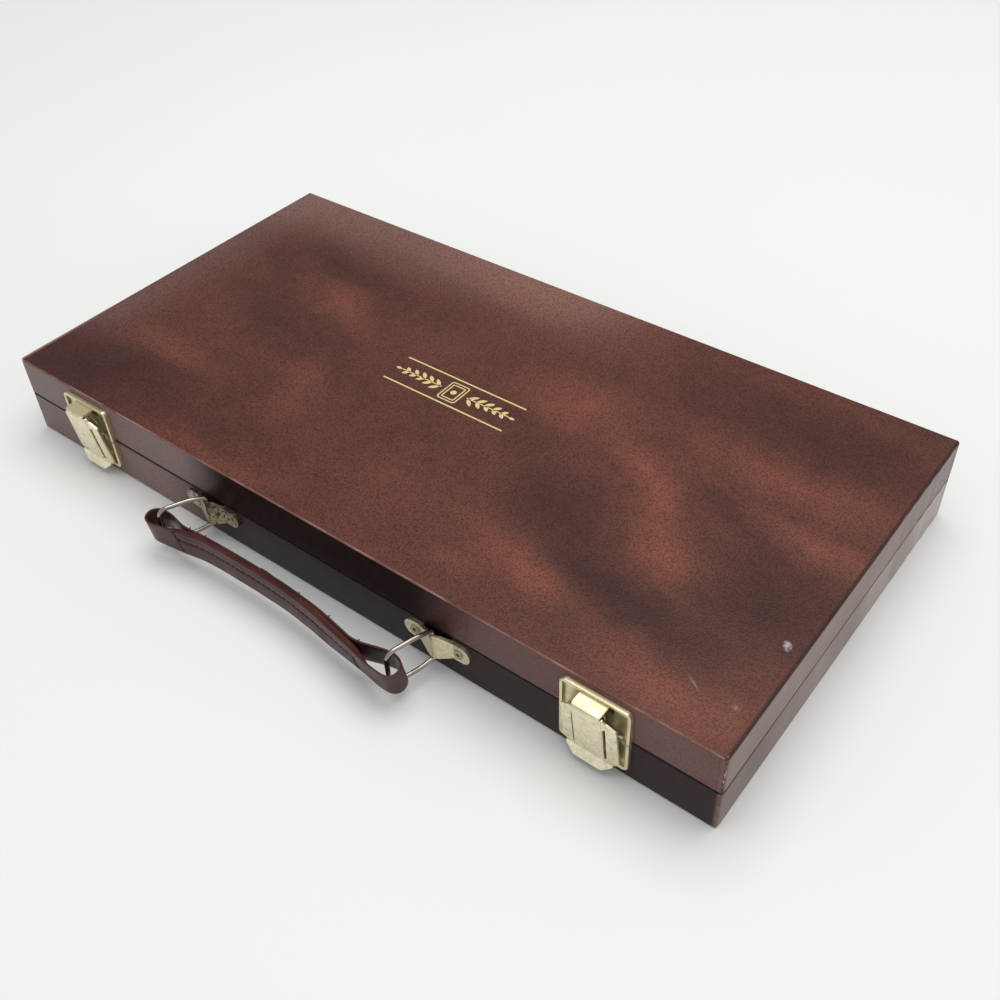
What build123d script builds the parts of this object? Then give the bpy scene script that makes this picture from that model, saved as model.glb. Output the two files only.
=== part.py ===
from build123d import *
import os
from math import atan2, cos, degrees, radians, sin

# Rummy tile case: a slim attache-style box of covered board. Millimetres.
# Origin: middle of the bottom face. X runs along the length, -Y is the front, +Z is up.
# In helper names, `out` is a distance in front of the case's front face.

# ---- case ----
case_length = 385.0
case_width = 198.0
case_height = 42.2
base_height = 21.5
seam_gap = 0.3
cover_thickness = 0.6
rail_thickness = 5.0
board_thickness = 3.0
corner_radius = 1.3
edge_radius = 1.2
cover_turn_in = 6.0
cover_turn_under = 12.0

# ---- insert tray ----
tray_wall = 1.2
tray_clearance = 0.4
tray_rim_drop = 2.5
tray_border = 4.4
rack_well_width = 44.0
well_divider = 4.0
well_radius = 6.0
notch_width = 30.0
notch_depth = 7.0

# ---- hinges ----
hinge_spread = 220.0
hinge_width = 32.0
leaf_thickness = 0.8
leaf_reach = 14.0
leaf_corner_radius = 1.6
knuckle_radius = 2.0
hinge_pin_radius = 1.0
hinge_axis_offset = 2.4
hinge_screw_spacing = 20.0
hinge_screw_drop = 8.5

# ---- latches ----
latch_positions = {"left": -143.0, "right": 141.5}
latch_width = 30.2
latch_sheet = 0.8
latch_rim_width = 1.6
latch_rim_height = 2.2
latch_corner_radius = 2.5
latch_top_margin = 3.4
latch_bottom_margin = 6.0
latch_plate_gap = 0.1
lid_rivet_spacing = 5.2
base_rivet_inset = 6.75
base_rivet_rise = 5.2
hook_width = 12.0
hook_below_rim = 1.4
hook_lip_height = 2.3
hook_lip_out = 8.4
hook_thickness = 0.8
hook_fall = 0.4
hook_corner_radius = 1.6
hook_window_width = 15.0
hook_window_height = 3.6
hook_slit_out = 1.6
hook_slit_width = 0.5
hook_slit_margin = 1.0
hook_bead_out = 1.5
lever_pivot_above_seam = 2.85
lever_pivot_out = 2.2
lever_pin_radius = 0.5
lever_panel_out = 5.9
lever_panel_width = 12.8
lever_panel_step = 0.3
lever_panel_step_drop = 7.0
lever_side_margin = 2.75
lever_panel_proud = 0.5
lever_wing_drop = 0.3
lever_top_cover = 0.3
lever_bottom_rise = 1.4
lever_tip_drop = 3.2
lever_tip_flare = 2.1
lever_lean = 1.95
lever_slot_width = 0.9
lever_slot_low = 2.5
lever_slot_top = 5.8
lever_tip_inset = 2.2
lever_tip_join = 0.9
lever_tip_radius = 1.4
lever_shoulder_drop = 1.9
lever_wing_top_drop = 4.2
lever_wing_top_inset = 0.6
lever_wing_low_rise = 2.0
lever_corner_radius = 0.8
lever_step_inset = 0.4
lug_to_ear = 3.8
lug_foot_half = 2.2
lug_radius = 1.05
ear_inset = 3.35
ear_radius = 1.0
ear_foot_drop = 6.5
spring_wire = 0.3
spring_turns = 5
spring_pitch_ratio = 1.1
spring_arm_length = 2.0
spring_leg_length = 6.0

# ---- handle ----
bracket_positions = {"left": -62.0, "right": 67.5}
bracket_below_rim = 5.7
bracket_length = 33.0
bracket_tab_width = 8.5
bracket_tab_thickness = 1.5
bridge_width = 12.8
bridge_foot = 8.5
bridge_sheet = 0.8
bridge_foot_wall = 1.28
bridge_crest_half = 3.0
bridge_flare_inset = 0.5
ring_wire_radius = 1.0
ring_pivot_out = 2.9
ring_reach = 21.4
ring_root_half = 7.7
ring_belly_half = 9.3
ring_belly_reach = 7.0
ring_corner_radius = 4.2
ring_angles = {"left": -25.6, "right": -15.9}
strap_width = 12.7
strap_thickness = 4.0
strap_layer = 1.7
strap_ring_gap = 0.4
strap_bow = 2.2
strap_sag = 1.7
loop_radius = 5.3
loop_past_bar = 2.0
loop_neck_reach = 24.0
core_thickness = 1.4
core_width = 8.0
core_end_margin = 0.12

# ---- fasteners and fits ----
running_clearance = 0.05
part_clearance = 0.3
rivet_shank_radius = 0.9
rivet_head_radius = 1.7
rivet_head_height = 0.42
bracket_rivet_shank_radius = 1.2
bracket_rivet_head_radius = 2.2
bracket_rivet_head_height = 0.5
bracket_rivet_bore_radius = 0.8
bracket_rivet_bore_depth = 1.0
bracket_rivet_spacing = 22.2
screw_shank_radius = 0.9
screw_head_radius = 1.9
screw_head_height = 0.9
screw_slot_width = 0.5
screw_slot_depth = 0.4
head_rounding = 0.65
fastener_bite = 4.2

# ---- worked out ----
deep = case_width / 10
front = -case_width / 2
back = case_width / 2
lid_low = base_height + seam_gap
seam_height = base_height + seam_gap / 2
inner_length = case_length - 2 * (cover_thickness + rail_thickness)
inner_width = case_width - 2 * (cover_thickness + rail_thickness)
base_floor = cover_thickness + board_thickness
lid_ceiling = case_height - cover_thickness - board_thickness
latch_top = case_height - latch_top_margin
latch_bottom = latch_bottom_margin
hook_top = latch_top - hook_below_rim
hook_lip_bottom = hook_top - hook_lip_height
hook_window_top = hook_top - hook_thickness
hook_window_low = hook_window_top - hook_window_height
lid_plate_low = lid_low + latch_plate_gap
lid_rivet_height = (lid_plate_low + hook_window_low) / 2
lever_top = hook_lip_bottom + lever_top_cover
lever_bottom = latch_bottom + lever_bottom_rise
lever_width = latch_width - 2 * lever_side_margin
lever_pivot_height = seam_height + lever_pivot_above_seam
lever_tilt = degrees(atan2(lever_lean, lever_pivot_height - lever_bottom))
ear_position = latch_width / 2 - ear_inset
lug_position = ear_position - lug_to_ear
hinge_axis_y = back + hinge_axis_offset
bracket_height = base_height - bracket_below_rim
strap_low = bracket_height - ring_belly_half + ring_wire_radius + strap_ring_gap
strap_middle = strap_low + strap_width / 2


# ---------------------------------------------------------------- helpers

def rounded_block(length, width, radius, low, high):
    """Upright block with rounded vertical corners between two heights."""
    outline = RectangleRounded(length, width, radius)
    return Pos(0, 0, low) * extrude(outline, high - low)


def box_between(x, y, z):
    """Box given by its lowest and highest value along each axis."""
    middle = [(low + high) / 2 for low, high in (x, y, z)]
    size = [high - low for low, high in (x, y, z)]
    return Pos(*middle) * Box(*size)


def front_plate(outline, inner, thickness):
    """Plate parallel to the front face, from an outline in X and Z."""
    face = Plane.XZ.offset(case_width / 2 + inner) * outline
    return extrude(face, thickness, dir=(0, -1, 0))


def outline_from(points):
    return Polygon(*points, align=None)


def side_profile(outline, width, x=0.0):
    """Extrude an outline in (Y, Z) along X, centred on x."""
    return Pos(x, 0, 0) * extrude(Plane.YZ * outline, width / 2, both=True)


def ahead(points):
    """Turn (out, height) points into (Y, Z) points."""
    return [(front - out, height) for out, height in points]


def disc_along_x(radius, length, x, y, z):
    return Pos(x, y, z) * Rot(0, 90, 0) * Cylinder(radius, length)


def disc_along_y(radius, x, y, z):
    """Cylinder along Y between the two values in y."""
    return Pos(x, sum(y) / 2, z) * Rot(90, 0, 0) * Cylinder(radius, abs(y[1] - y[0]))


def hull_of(*shapes):
    return make_hull([edge for shape in shapes for edge in shape.edges()])


# ---------------------------------------------------------------- fasteners

def front_fastener_sites(positions, offsets, height):
    return [(x + dx, height) for x in positions.values() for dx in offsets]


def lid_rivet_sites():
    half = lid_rivet_spacing / 2
    return front_fastener_sites(latch_positions, (-half, half), lid_rivet_height)


def base_rivet_sites():
    half = latch_width / 2 - base_rivet_inset
    return front_fastener_sites(latch_positions, (-half, half), latch_bottom + base_rivet_rise)


def bracket_rivet_sites():
    half = bracket_rivet_spacing / 2
    return front_fastener_sites(bracket_positions, (-half, half), bracket_height)


def hinge_screw_sites(sign):
    """Screw places on the back, above (+1) or below (-1) the seam."""
    half = hinge_screw_spacing / 2
    height = seam_height + sign * hinge_screw_drop
    return [(x + dx, height) for x in (-hinge_spread / 2, hinge_spread / 2) for dx in (-half, half)]


def front_shank(radius, site, outer):
    x, z = site
    return disc_along_y(radius, x, (front - outer, front + cover_thickness + fastener_bite), z)


def back_shank(radius, site, outer):
    x, z = site
    return disc_along_y(radius, x, (back + outer, back - cover_thickness - fastener_bite), z)


def front_holes(sites, shank_radius, outer):
    """Clearance holes for front fasteners, through everything they pass."""
    return [front_shank(shank_radius + running_clearance, site, outer) for site in sites]


def back_holes(sites):
    return [back_shank(screw_shank_radius + running_clearance, site, leaf_thickness) for site in sites]


def rivets(sites):
    """Round-headed drive rivets that hold the latch plates."""
    made = []
    for x, z in sites:
        across = (front - latch_sheet, front - latch_sheet - rivet_head_height)
        head = disc_along_y(rivet_head_radius, x, across, z)
        rim = head.edges().filter_by(GeomType.CIRCLE).sort_by(Axis.Y)[0]
        head = fillet(rim, rivet_head_height * head_rounding)
        made.append(head + front_shank(rivet_shank_radius, (x, z), latch_sheet))
    return made


def bracket_rivets():
    """Tubular rivets with a small open bore in a flat head."""
    made = []
    for x, z in bracket_rivet_sites():
        outer = bracket_tab_thickness + bracket_rivet_head_height
        head = disc_along_y(bracket_rivet_head_radius, x, (front - bracket_tab_thickness, front - outer), z)
        shank = front_shank(bracket_rivet_shank_radius, (x, z), bracket_tab_thickness)
        bore_end = front - outer + bracket_rivet_bore_depth
        made.append(head + shank - disc_along_y(bracket_rivet_bore_radius, x, (front - outer, bore_end), z))
    return made


def hinge_screws(sign):
    """Slotted screws of the hinge leaves."""
    made = []
    for x, z in hinge_screw_sites(sign):
        outer = leaf_thickness + screw_head_height
        head = disc_along_y(screw_head_radius, x, (back + leaf_thickness, back + outer), z)
        rim = head.edges().filter_by(GeomType.CIRCLE).sort_by(Axis.Y)[-1]
        head = fillet(rim, screw_head_height * head_rounding)
        screw = head + back_shank(screw_shank_radius, (x, z), leaf_thickness)
        slot_floor = back + outer - screw_slot_depth
        slot_x = (x - screw_head_radius, x + screw_head_radius)
        slot_z = (z - screw_slot_width / 2, z + screw_slot_width / 2)
        made.append(screw - box_between(slot_x, (slot_floor, back + outer), slot_z))
    return made


# ---------------------------------------------------------------- case shells

def shell_outside(low, high, rounded_at_top):
    """Outer form of one half of the case, with its long edge rounded."""
    block = rounded_block(case_length, case_width, corner_radius, low, high)
    faces = block.faces().sort_by(Axis.Z)
    rim = faces[-1] if rounded_at_top else faces[0]
    return fillet(rim.edges(), edge_radius)


def shell_core(low, high, rounded_at_top):
    """Board and rails of one half, before the cavity is taken out."""
    length = case_length - 2 * cover_thickness
    width = case_width - 2 * cover_thickness
    block = rounded_block(length, width, corner_radius - cover_thickness, low, high)
    faces = block.faces().sort_by(Axis.Z)
    rim = faces[-1] if rounded_at_top else faces[0]
    return fillet(rim.edges(), edge_radius - cover_thickness)


def cavity(low, high, inset=0.0):
    half_x = inner_length / 2 - inset
    half_y = inner_width / 2 - inset
    return box_between((-half_x, half_x), (-half_y, half_y), (low, high))


def rails(core, prefix, low, high, holes):
    """Four rails: the front and back ones run the full length."""
    ring = core & box_between((-case_length, case_length), (-case_width, case_width), (low, high))
    ring = ring - cavity(low, high)
    for hole in holes:
        ring = ring - hole
    half_x = case_length / 2
    half_y = inner_width / 2
    long_x = (-half_x, half_x)
    parts = {
        prefix + "_front_rail": ring & box_between(long_x, (front, -half_y), (low, high)),
        prefix + "_back_rail": ring & box_between(long_x, (half_y, back), (low, high)),
        prefix + "_left_rail": ring & box_between((-half_x, 0), (-half_y, half_y), (low, high)),
        prefix + "_right_rail": ring & box_between((0, half_x), (-half_y, half_y), (low, high)),
    }
    return parts


def turned_in_edge(low, high):
    """Cover skin glued down the inner faces of the rails, next to the rim."""
    return cavity(low, high) - cavity(low, high, cover_thickness)


def base_shell():
    rail_top = base_height - cover_thickness
    outside = shell_outside(0, base_height, False)
    core = shell_core(cover_thickness, rail_top, False)
    holes = front_holes(base_rivet_sites(), rivet_shank_radius, 0)
    holes += front_holes(bracket_rivet_sites(), bracket_rivet_shank_radius, 0)
    holes += back_holes(hinge_screw_sites(-1))
    parts = rails(core, "base", base_floor, rail_top, holes)
    slab = box_between((-case_length, case_length), (-case_width, case_width), (cover_thickness, base_floor))
    parts["base_bottom_board"] = core & slab
    sheet_length = case_length - 2 * cover_turn_under
    sheet_width = case_width - 2 * cover_turn_under
    sheet = rounded_block(sheet_length, sheet_width, corner_radius, 0, cover_thickness)
    parts["base_bottom_sheet"] = sheet
    cover = outside - core - cavity(base_floor, base_height) - sheet
    cover += turned_in_edge(base_height - cover_turn_in, base_height)
    for hole in holes:
        cover = cover - hole
    parts["base_cover"] = cover
    return parts


def lid_shell():
    rail_low = lid_low + cover_thickness
    outside = shell_outside(lid_low, case_height, True)
    core = shell_core(rail_low, case_height - cover_thickness, True)
    holes = front_holes(lid_rivet_sites(), rivet_shank_radius, 0)
    holes += back_holes(hinge_screw_sites(1))
    parts = rails(core, "lid", rail_low, lid_ceiling, holes)
    slab = box_between((-case_length, case_length), (-case_width, case_width), (lid_ceiling, case_height))
    parts["lid_top_board"] = core & slab
    lining_low = lid_low + cover_turn_in
    lining = cavity(lining_low, lid_ceiling)
    parts["lid_lining"] = lining - cavity(lining_low, lid_ceiling - cover_thickness, cover_thickness)
    cover = outside - core - cavity(lid_low, lid_ceiling)
    cover += turned_in_edge(lid_low, lining_low)
    for hole in holes:
        cover = cover - hole
    parts["lid_cover"] = cover
    return parts


# ---------------------------------------------------------------- insert tray

def well_outlines():
    """Footprints of the wells: two long ones for racks, two between them for tiles."""
    length = inner_length - 2 * (cover_thickness + tray_clearance + tray_border)
    width = inner_width - 2 * (cover_thickness + tray_clearance + tray_border)
    tile_length = (length - well_divider) / 2
    tile_width = width - 2 * (rack_well_width + well_divider)
    rack_y = (width - rack_well_width) / 2
    tile_x = (tile_length + well_divider) / 2
    rack = (length, rack_well_width)
    tile = (tile_length, tile_width)
    return [((0, -rack_y), rack), ((0, rack_y), rack), ((-tile_x, 0), tile), ((tile_x, 0), tile)]


def well_block(place, size, grow, low, high):
    outline = RectangleRounded(size[0] + 2 * grow, size[1] + 2 * grow, well_radius + grow)
    return Pos(place[0], place[1], low) * extrude(outline, high - low)


def finger_notches(rim, grow):
    """Dips in the dividers beside the rack wells, where a rack is lifted out."""
    outlines = well_outlines()
    tile_x = outlines[3][0][0]
    divider_y = outlines[3][1][1] / 2 + well_divider / 2
    reach = well_divider / 2 + tray_wall
    half = notch_width / 2 + grow
    low = rim - notch_depth - grow
    places = [(x, y) for x in (-tile_x, tile_x) for y in (-divider_y, divider_y)]
    return [box_between((x - half, x + half), (y - reach, y + reach), (low, rim)) for x, y in places]


def insert_tray():
    """Formed sheet: a flat rim with four wells that stand on the bottom board."""
    rim = base_height - tray_rim_drop
    half_x = inner_length / 2 - cover_thickness - tray_clearance
    half_y = inner_width / 2 - cover_thickness - tray_clearance
    tray = box_between((-half_x, half_x), (-half_y, half_y), (rim - tray_wall, rim))
    for place, size in well_outlines():
        tray += well_block(place, size, tray_wall, base_floor, rim)
    for notch in finger_notches(rim, tray_wall):
        tray += notch
    for place, size in well_outlines():
        tray -= well_block(place, size, 0, base_floor + tray_wall, rim)
    for notch in finger_notches(rim, 0):
        tray -= notch
    return tray


# ---------------------------------------------------------------- hinges

def knuckle_spans():
    """X ranges of the three knuckles of a hinge: outer, middle, outer."""
    third = hinge_width / 3
    gap = part_clearance / 2
    edges = [-hinge_width / 2 + third * step for step in range(4)]
    return [(edges[i] + (gap if i else 0), edges[i + 1] - (gap if i < 2 else 0)) for i in range(3)]


def hinge_leaf(x, sign, spans, holes):
    """One leaf with its knuckles; sign is +1 on the lid and -1 on the base."""
    plate_near = seam_height + sign * knuckle_radius
    plate_far = seam_height + sign * leaf_reach
    heights = (min(plate_near, plate_far), max(plate_near, plate_far))
    rim = seam_height + sign * seam_gap / 2
    across = (back, back + leaf_thickness)
    leaf = box_between((-hinge_width / 2, hinge_width / 2), across, heights)
    corners = leaf.edges().filter_by(Axis.Y).sort_by(Axis.Z)
    leaf = fillet(corners[-2:] if sign > 0 else corners[:2], leaf_corner_radius)
    for span in spans:
        middle = sum(span) / 2
        length = span[1] - span[0]
        web = box_between(span, across, (min(rim, plate_near), max(rim, plate_near)))
        leaf += web + disc_along_x(knuckle_radius, length, middle, hinge_axis_y, seam_height)
    bore = disc_along_x(hinge_pin_radius + running_clearance, hinge_width * 2, 0, hinge_axis_y, seam_height)
    leaf = Pos(x, 0, 0) * (leaf - bore)
    for hole in holes:
        leaf = leaf - hole
    return leaf


def hinges():
    outer_left, middle, outer_right = knuckle_spans()
    parts = {}
    for name, x in (("left", -hinge_spread / 2), ("right", hinge_spread / 2)):
        prefix = "hinge_" + name
        base_holes = back_holes(hinge_screw_sites(-1))
        lid_holes = back_holes(hinge_screw_sites(1))
        parts[prefix + "_base_leaf"] = hinge_leaf(x, -1, (outer_left, outer_right), base_holes)
        parts[prefix + "_lid_leaf"] = hinge_leaf(x, 1, (middle,), lid_holes)
        parts[prefix + "_pin"] = disc_along_x(hinge_pin_radius, hinge_width, x, hinge_axis_y, seam_height)
    return parts


# ---------------------------------------------------------------- latches

def latch_pan(x, low, high, rounded_at_top):
    """Stamped plate with a raised rim on three sides, open towards the seam."""
    half = latch_width / 2
    middle = (low + high) / 2
    height = high - low
    outline = Pos(x, middle) * Rectangle(latch_width, height)
    row = outline.vertices().sort_by(Axis.Y)
    outline = fillet(row[-2:] if rounded_at_top else row[:2], latch_corner_radius)
    pan = front_plate(outline, 0, latch_rim_height)
    inner_low = low if rounded_at_top else low + latch_rim_width
    inner_high = high - latch_rim_width if rounded_at_top else high
    inner_x = (x - half + latch_rim_width, x + half - latch_rim_width)
    recess = box_between(inner_x, (front - latch_rim_height, front - latch_sheet), (inner_low, inner_high))
    pan = pan - recess
    crest = pan.faces().sort_by(Axis.Y)[0]
    return fillet(crest.edges(), latch_rim_width * 0.3)


def hook(x):
    """Strip bent out over the lever's top, rounded at its bend and corners."""
    bend_height = hook_top - hook_fall
    lip_back = hook_lip_out - latch_sheet
    root_out = latch_sheet / 2
    strip = [
        (root_out, hook_top), (hook_lip_out, bend_height), (hook_lip_out, hook_lip_bottom),
        (lip_back, hook_lip_bottom), (lip_back, bend_height - hook_thickness), (root_out, hook_window_top),
    ]
    strip = side_profile(outline_from(ahead(strip)), hook_width, x)
    bend = strip.edges().filter_by(Axis.X).group_by(Axis.Y)[0].sort_by(Axis.Z)[-1]
    strip = fillet(bend, hook_thickness)
    plan = Pos(x, front) * RectangleRounded(hook_width, 2 * hook_lip_out, hook_corner_radius)
    strip = strip & upright(plan, hook_lip_bottom, hook_top)
    half_slit = hook_width / 2 - hook_slit_margin
    slit_y = (front - hook_slit_out - hook_slit_width, front - hook_slit_out)
    return strip - box_between((x - half_slit, x + half_slit), slit_y, (hook_lip_bottom, hook_top))


def lid_plate(x):
    """Upper latch plate: window below the hook, short raised bead above it."""
    pan = latch_pan(x, lid_plate_low, latch_top, True)
    half_window = hook_window_width / 2
    window_z = (hook_window_low, hook_window_top)
    pan = pan - box_between((x - half_window, x + half_window), (front - latch_sheet, front), window_z)
    half_bead = hook_width / 2
    bead_y = (front - hook_bead_out, front - latch_sheet / 2)
    bead_z = (hook_top - latch_sheet / 2, latch_top - latch_rim_width / 2)
    bead = box_between((x - half_bead, x + half_bead), bead_y, bead_z)
    plate = pan + hook(x) + fillet(bead.edges().filter_by(Axis.Y), latch_sheet / 2)
    for hole in front_holes(lid_rivet_sites(), rivet_shank_radius, latch_sheet):
        plate = plate - hole
    return plate


def pivot_tongue(x, radius, foot):
    """Small upright plate from a foot line to a rounded end about the lever's pin."""
    pivot = ahead([(lever_pivot_out, lever_pivot_height)])[0]
    round_end = Pos(*pivot) * Circle(radius)
    foot_line = Line(*ahead(foot))
    tongue = side_profile(hull_of(round_end, foot_line), latch_sheet, x)
    return tongue - disc_along_x(lever_pin_radius + running_clearance, latch_sheet * 2, x, *pivot)


def base_plate(x):
    """Lower latch plate with two ears that carry the lever's pin."""
    plate = latch_pan(x, latch_bottom, base_height - latch_plate_gap, False)
    plate_end = base_height - latch_plate_gap
    foot = [(latch_sheet / 2, lever_pivot_height - ear_foot_drop), (latch_sheet / 2, plate_end)]
    for side in (-1, 1):
        plate += pivot_tongue(x + side * ear_position, ear_radius, foot)
    behind_ears = (front - latch_sheet - part_clearance, front)
    relief_z = (plate_end, lever_pivot_height + ear_radius)
    relief = box_between((x - latch_width, x + latch_width), behind_ears, relief_z)
    plate = plate - relief
    for hole in front_holes(base_rivet_sites(), rivet_shank_radius, latch_sheet):
        plate = plate - hole
    return plate


def lever_wing_out(dx):
    """How far out a wing's sheet stands at a distance from the lever's middle, before the tilt."""
    slot_edge = lever_panel_width / 2 + lever_slot_width
    fall = lever_wing_drop * (dx - slot_edge) / (lever_width / 2 - slot_edge)
    return lever_panel_out - lever_panel_proud - fall


def lever_sheet():
    """Sheet with a flat panel that stands proud of a sloping wing on each side."""
    half_panel = lever_panel_width / 2
    slot_edge = half_panel + lever_slot_width
    wide = lever_width / 2
    wing = [(dx, lever_wing_out(dx)) for dx in (slot_edge, wide)]
    right = [(half_panel, lever_panel_out)] + wing
    stops = [(-dx, out) for dx, out in reversed(right)] + right
    outer = [(dx, front - out) for dx, out in stops]
    inner = [(dx, y + latch_sheet) for dx, y in reversed(outer)]
    return Pos(0, 0, lever_bottom) * extrude(outline_from(outer + inner), lever_top - lever_bottom)


def mirrored(points):
    """Close an outline given by its right half, from top to bottom."""
    return [(-x, z) for x, z in points] + points[::-1]


def softened(points, radius):
    """Mirrored outline with every corner rounded."""
    outline = outline_from(mirrored(points))
    return fillet(outline.vertices(), radius)


def lever_shield():
    """Front outline of the lever: panel top, sloping wing tops, full width low down."""
    half_panel = lever_panel_width / 2
    wide = lever_width / 2
    right = [
        (half_panel, lever_top),
        (half_panel + lever_slot_width, lever_top - lever_shoulder_drop),
        (wide - lever_wing_top_inset, lever_top - lever_wing_top_drop),
        (wide, lever_bottom + lever_wing_low_rise),
        (wide - lever_tip_inset, lever_bottom),
    ]
    return softened(right, lever_corner_radius)


def lever_tip():
    """Finger lip that flares outwards at the foot of the panel."""
    half = lever_width / 2 - lever_tip_inset
    blunt = lever_panel_width / 2 - lever_step_inset
    end = lever_bottom - lever_tip_drop
    join = lever_bottom + lever_tip_join
    right = [(half, join), (half, lever_bottom), (blunt, end)]
    curl = [
        (lever_panel_out, join),
        (lever_panel_out + lever_tip_flare / 2, (join + end) / 2),
        (lever_panel_out + lever_tip_flare, end),
    ]
    inside = [(out - latch_sheet, height) for out, height in reversed(curl)]
    tip = side_profile(outline_from(ahead(curl + inside)), 2 * half)
    outline = outline_from(mirrored(right))
    lower_corners = outline.vertices().sort_by(Axis.Y)[:4]
    return tip & front_plate(fillet(lower_corners, lever_tip_radius), 0, deep)


def lever_step():
    """Thicker upper part of the panel, with rounded lower corners."""
    half = lever_panel_width / 2 - lever_step_inset
    step_low = lever_pivot_height - lever_panel_step_drop
    outline = softened([(half, lever_top), (half, step_low)], lever_corner_radius)
    return front_plate(outline, lever_panel_out - latch_sheet / 2, lever_panel_step + latch_sheet / 2)


def latch_lever(x):
    """Shield-shaped lever with lugs on its back that turn on the pin."""
    shield = front_plate(lever_shield(), 0, deep)
    lever = (lever_sheet() & shield) + lever_tip() + lever_step()
    slot_near = lever_panel_width / 2
    slot_far = slot_near + lever_slot_width
    slot_z = (lever_bottom + lever_slot_low, lever_top - lever_slot_top)
    lug_out = lever_wing_out(lug_position) - latch_sheet / 2
    foot = [(lug_out, lever_pivot_height - lug_foot_half), (lug_out, lever_pivot_height + lug_foot_half)]
    for side in (-1, 1):
        slot_x = sorted((side * slot_near, side * slot_far))
        lever = lever - box_between(slot_x, (front - deep, front), slot_z)
        lever += pivot_tongue(side * lug_position, lug_radius, foot)
    pivot = Pos(x, front - lever_pivot_out, lever_pivot_height)
    return pivot * Rot(lever_tilt, 0, 0) * Pos(0, -(front - lever_pivot_out), -lever_pivot_height) * lever


def latch_pin(x):
    length = 2 * ear_position + 2 * latch_sheet
    return disc_along_x(lever_pin_radius, length, x, front - lever_pivot_out, lever_pivot_height)


def latch_springs(x):
    """Two small coils on the pin, each with an arm behind the lever and a leg on the plate."""
    coil_radius = lever_pin_radius + 2 * running_clearance + spring_wire / 2
    pitch = spring_wire * spring_pitch_ratio
    coils = []
    for side in (-1, 1):
        start = side * (lug_position + latch_sheet / 2 + part_clearance + spring_wire / 2)
        axis_start = Pos(x + start, front - lever_pivot_out, lever_pivot_height)
        helix = Helix(pitch, pitch * spring_turns, coil_radius)
        section = Plane(origin=helix @ 0, z_dir=helix % 0) * Circle(spring_wire / 2)
        coil = sweep(section, helix, is_frenet=True)
        coil = axis_start * Rot(0, side * 90, 0) * coil
        arm = (1, 0.5, spring_arm_length)
        leg = (-1, spring_turns - 0.5, spring_leg_length)
        for toward, turn, length in (arm, leg):
            wire_x = x + start + side * pitch * turn
            wire_y = front - lever_pivot_out - toward * coil_radius
            coil += Pos(wire_x, wire_y, lever_pivot_height - length / 2) * Cylinder(spring_wire / 2, length)
        coils.append(coil)
    return coils


def latches():
    parts = {}
    for name, x in latch_positions.items():
        prefix = "latch_" + name
        parts[prefix + "_lid_plate"] = lid_plate(x)
        parts[prefix + "_base_plate"] = base_plate(x)
        parts[prefix + "_lever"] = latch_lever(x)
        parts[prefix + "_pin"] = latch_pin(x)
        parts[prefix + "_springs"] = latch_springs(x)
    parts["latch_lid_rivets"] = rivets(lid_rivet_sites())
    parts["latch_base_rivets"] = rivets(base_rivet_sites())
    return parts


# ---------------------------------------------------------------- handle

def bar_place(name):
    """Middle of a ring's outer bar in plan: (x, distance out)."""
    angle = radians(ring_angles[name])
    return (bracket_positions[name] + ring_reach * sin(angle), ring_pivot_out + ring_reach * cos(angle))


def bracket(x):
    """Plate with two riveted tabs and a tent-shaped bridge over the ring's inner bar."""
    half_tab = bracket_tab_width / 2
    flare_half = bridge_foot - bridge_flare_inset
    tabs = SlotOverall(bracket_length, bracket_tab_width)
    flare = outline_from(mirrored([
        (bridge_crest_half, bridge_width / 2), (flare_half, half_tab),
        (flare_half, -half_tab), (bridge_crest_half, -bridge_width / 2),
    ]))
    outline = Pos(x, bracket_height) * (tabs + flare)
    crest = Pos(0, -ring_pivot_out)
    bore_radius = ring_wire_radius + running_clearance
    outer_foot = Line((-bridge_foot, -bracket_tab_thickness), (bridge_foot, -bracket_tab_thickness))
    outer = hull_of(crest * Circle(bore_radius + bridge_sheet), outer_foot)
    inner_half = bridge_foot - bridge_foot_wall
    floor = bracket_tab_thickness / 3
    inner_foot = Line((-inner_half, -floor), (inner_half, -floor))
    inner = hull_of(crest * Circle(bore_radius), inner_foot)
    half = bracket_length / 2
    flat = Pos(0, -bracket_tab_thickness / 2) * Rectangle(2 * half, bracket_tab_thickness)
    under = Pos(0, -floor / 2) * Rectangle(2 * inner_half, floor)
    section = flat + outer - inner - under
    low = bracket_height - bridge_width / 2
    body = Pos(x, front, low) * extrude(section, bridge_width)
    body = body & front_plate(outline, 0, deep)
    for hole in front_holes(bracket_rivet_sites(), bracket_rivet_shank_radius, bracket_tab_thickness):
        body = body - hole
    return body


def handle_ring(name):
    """D-shaped wire ring; its inner bar is upright in the bracket."""
    points = [
        (0, -ring_root_half), (0, ring_root_half),
        (ring_belly_reach, ring_belly_half), (ring_reach, ring_belly_half),
        (ring_reach, -ring_belly_half), (ring_belly_reach, -ring_belly_half),
    ]
    root_radius = ring_root_half - bridge_width / 2
    belly_radius = 2 * ring_belly_half
    radii = [root_radius, root_radius, belly_radius, ring_corner_radius, ring_corner_radius, belly_radius]
    line = FilletPolyline(*[(s, z) for s, z in points], radius=radii, close=True)
    path = Plane.XZ * line
    section = Plane.XY * Circle(ring_wire_radius)
    ring = sweep(section, path.wires()[0])
    place = Pos(bracket_positions[name], front - ring_pivot_out, bracket_height)
    return place * Rot(0, 0, ring_angles[name] - 90) * ring


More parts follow.
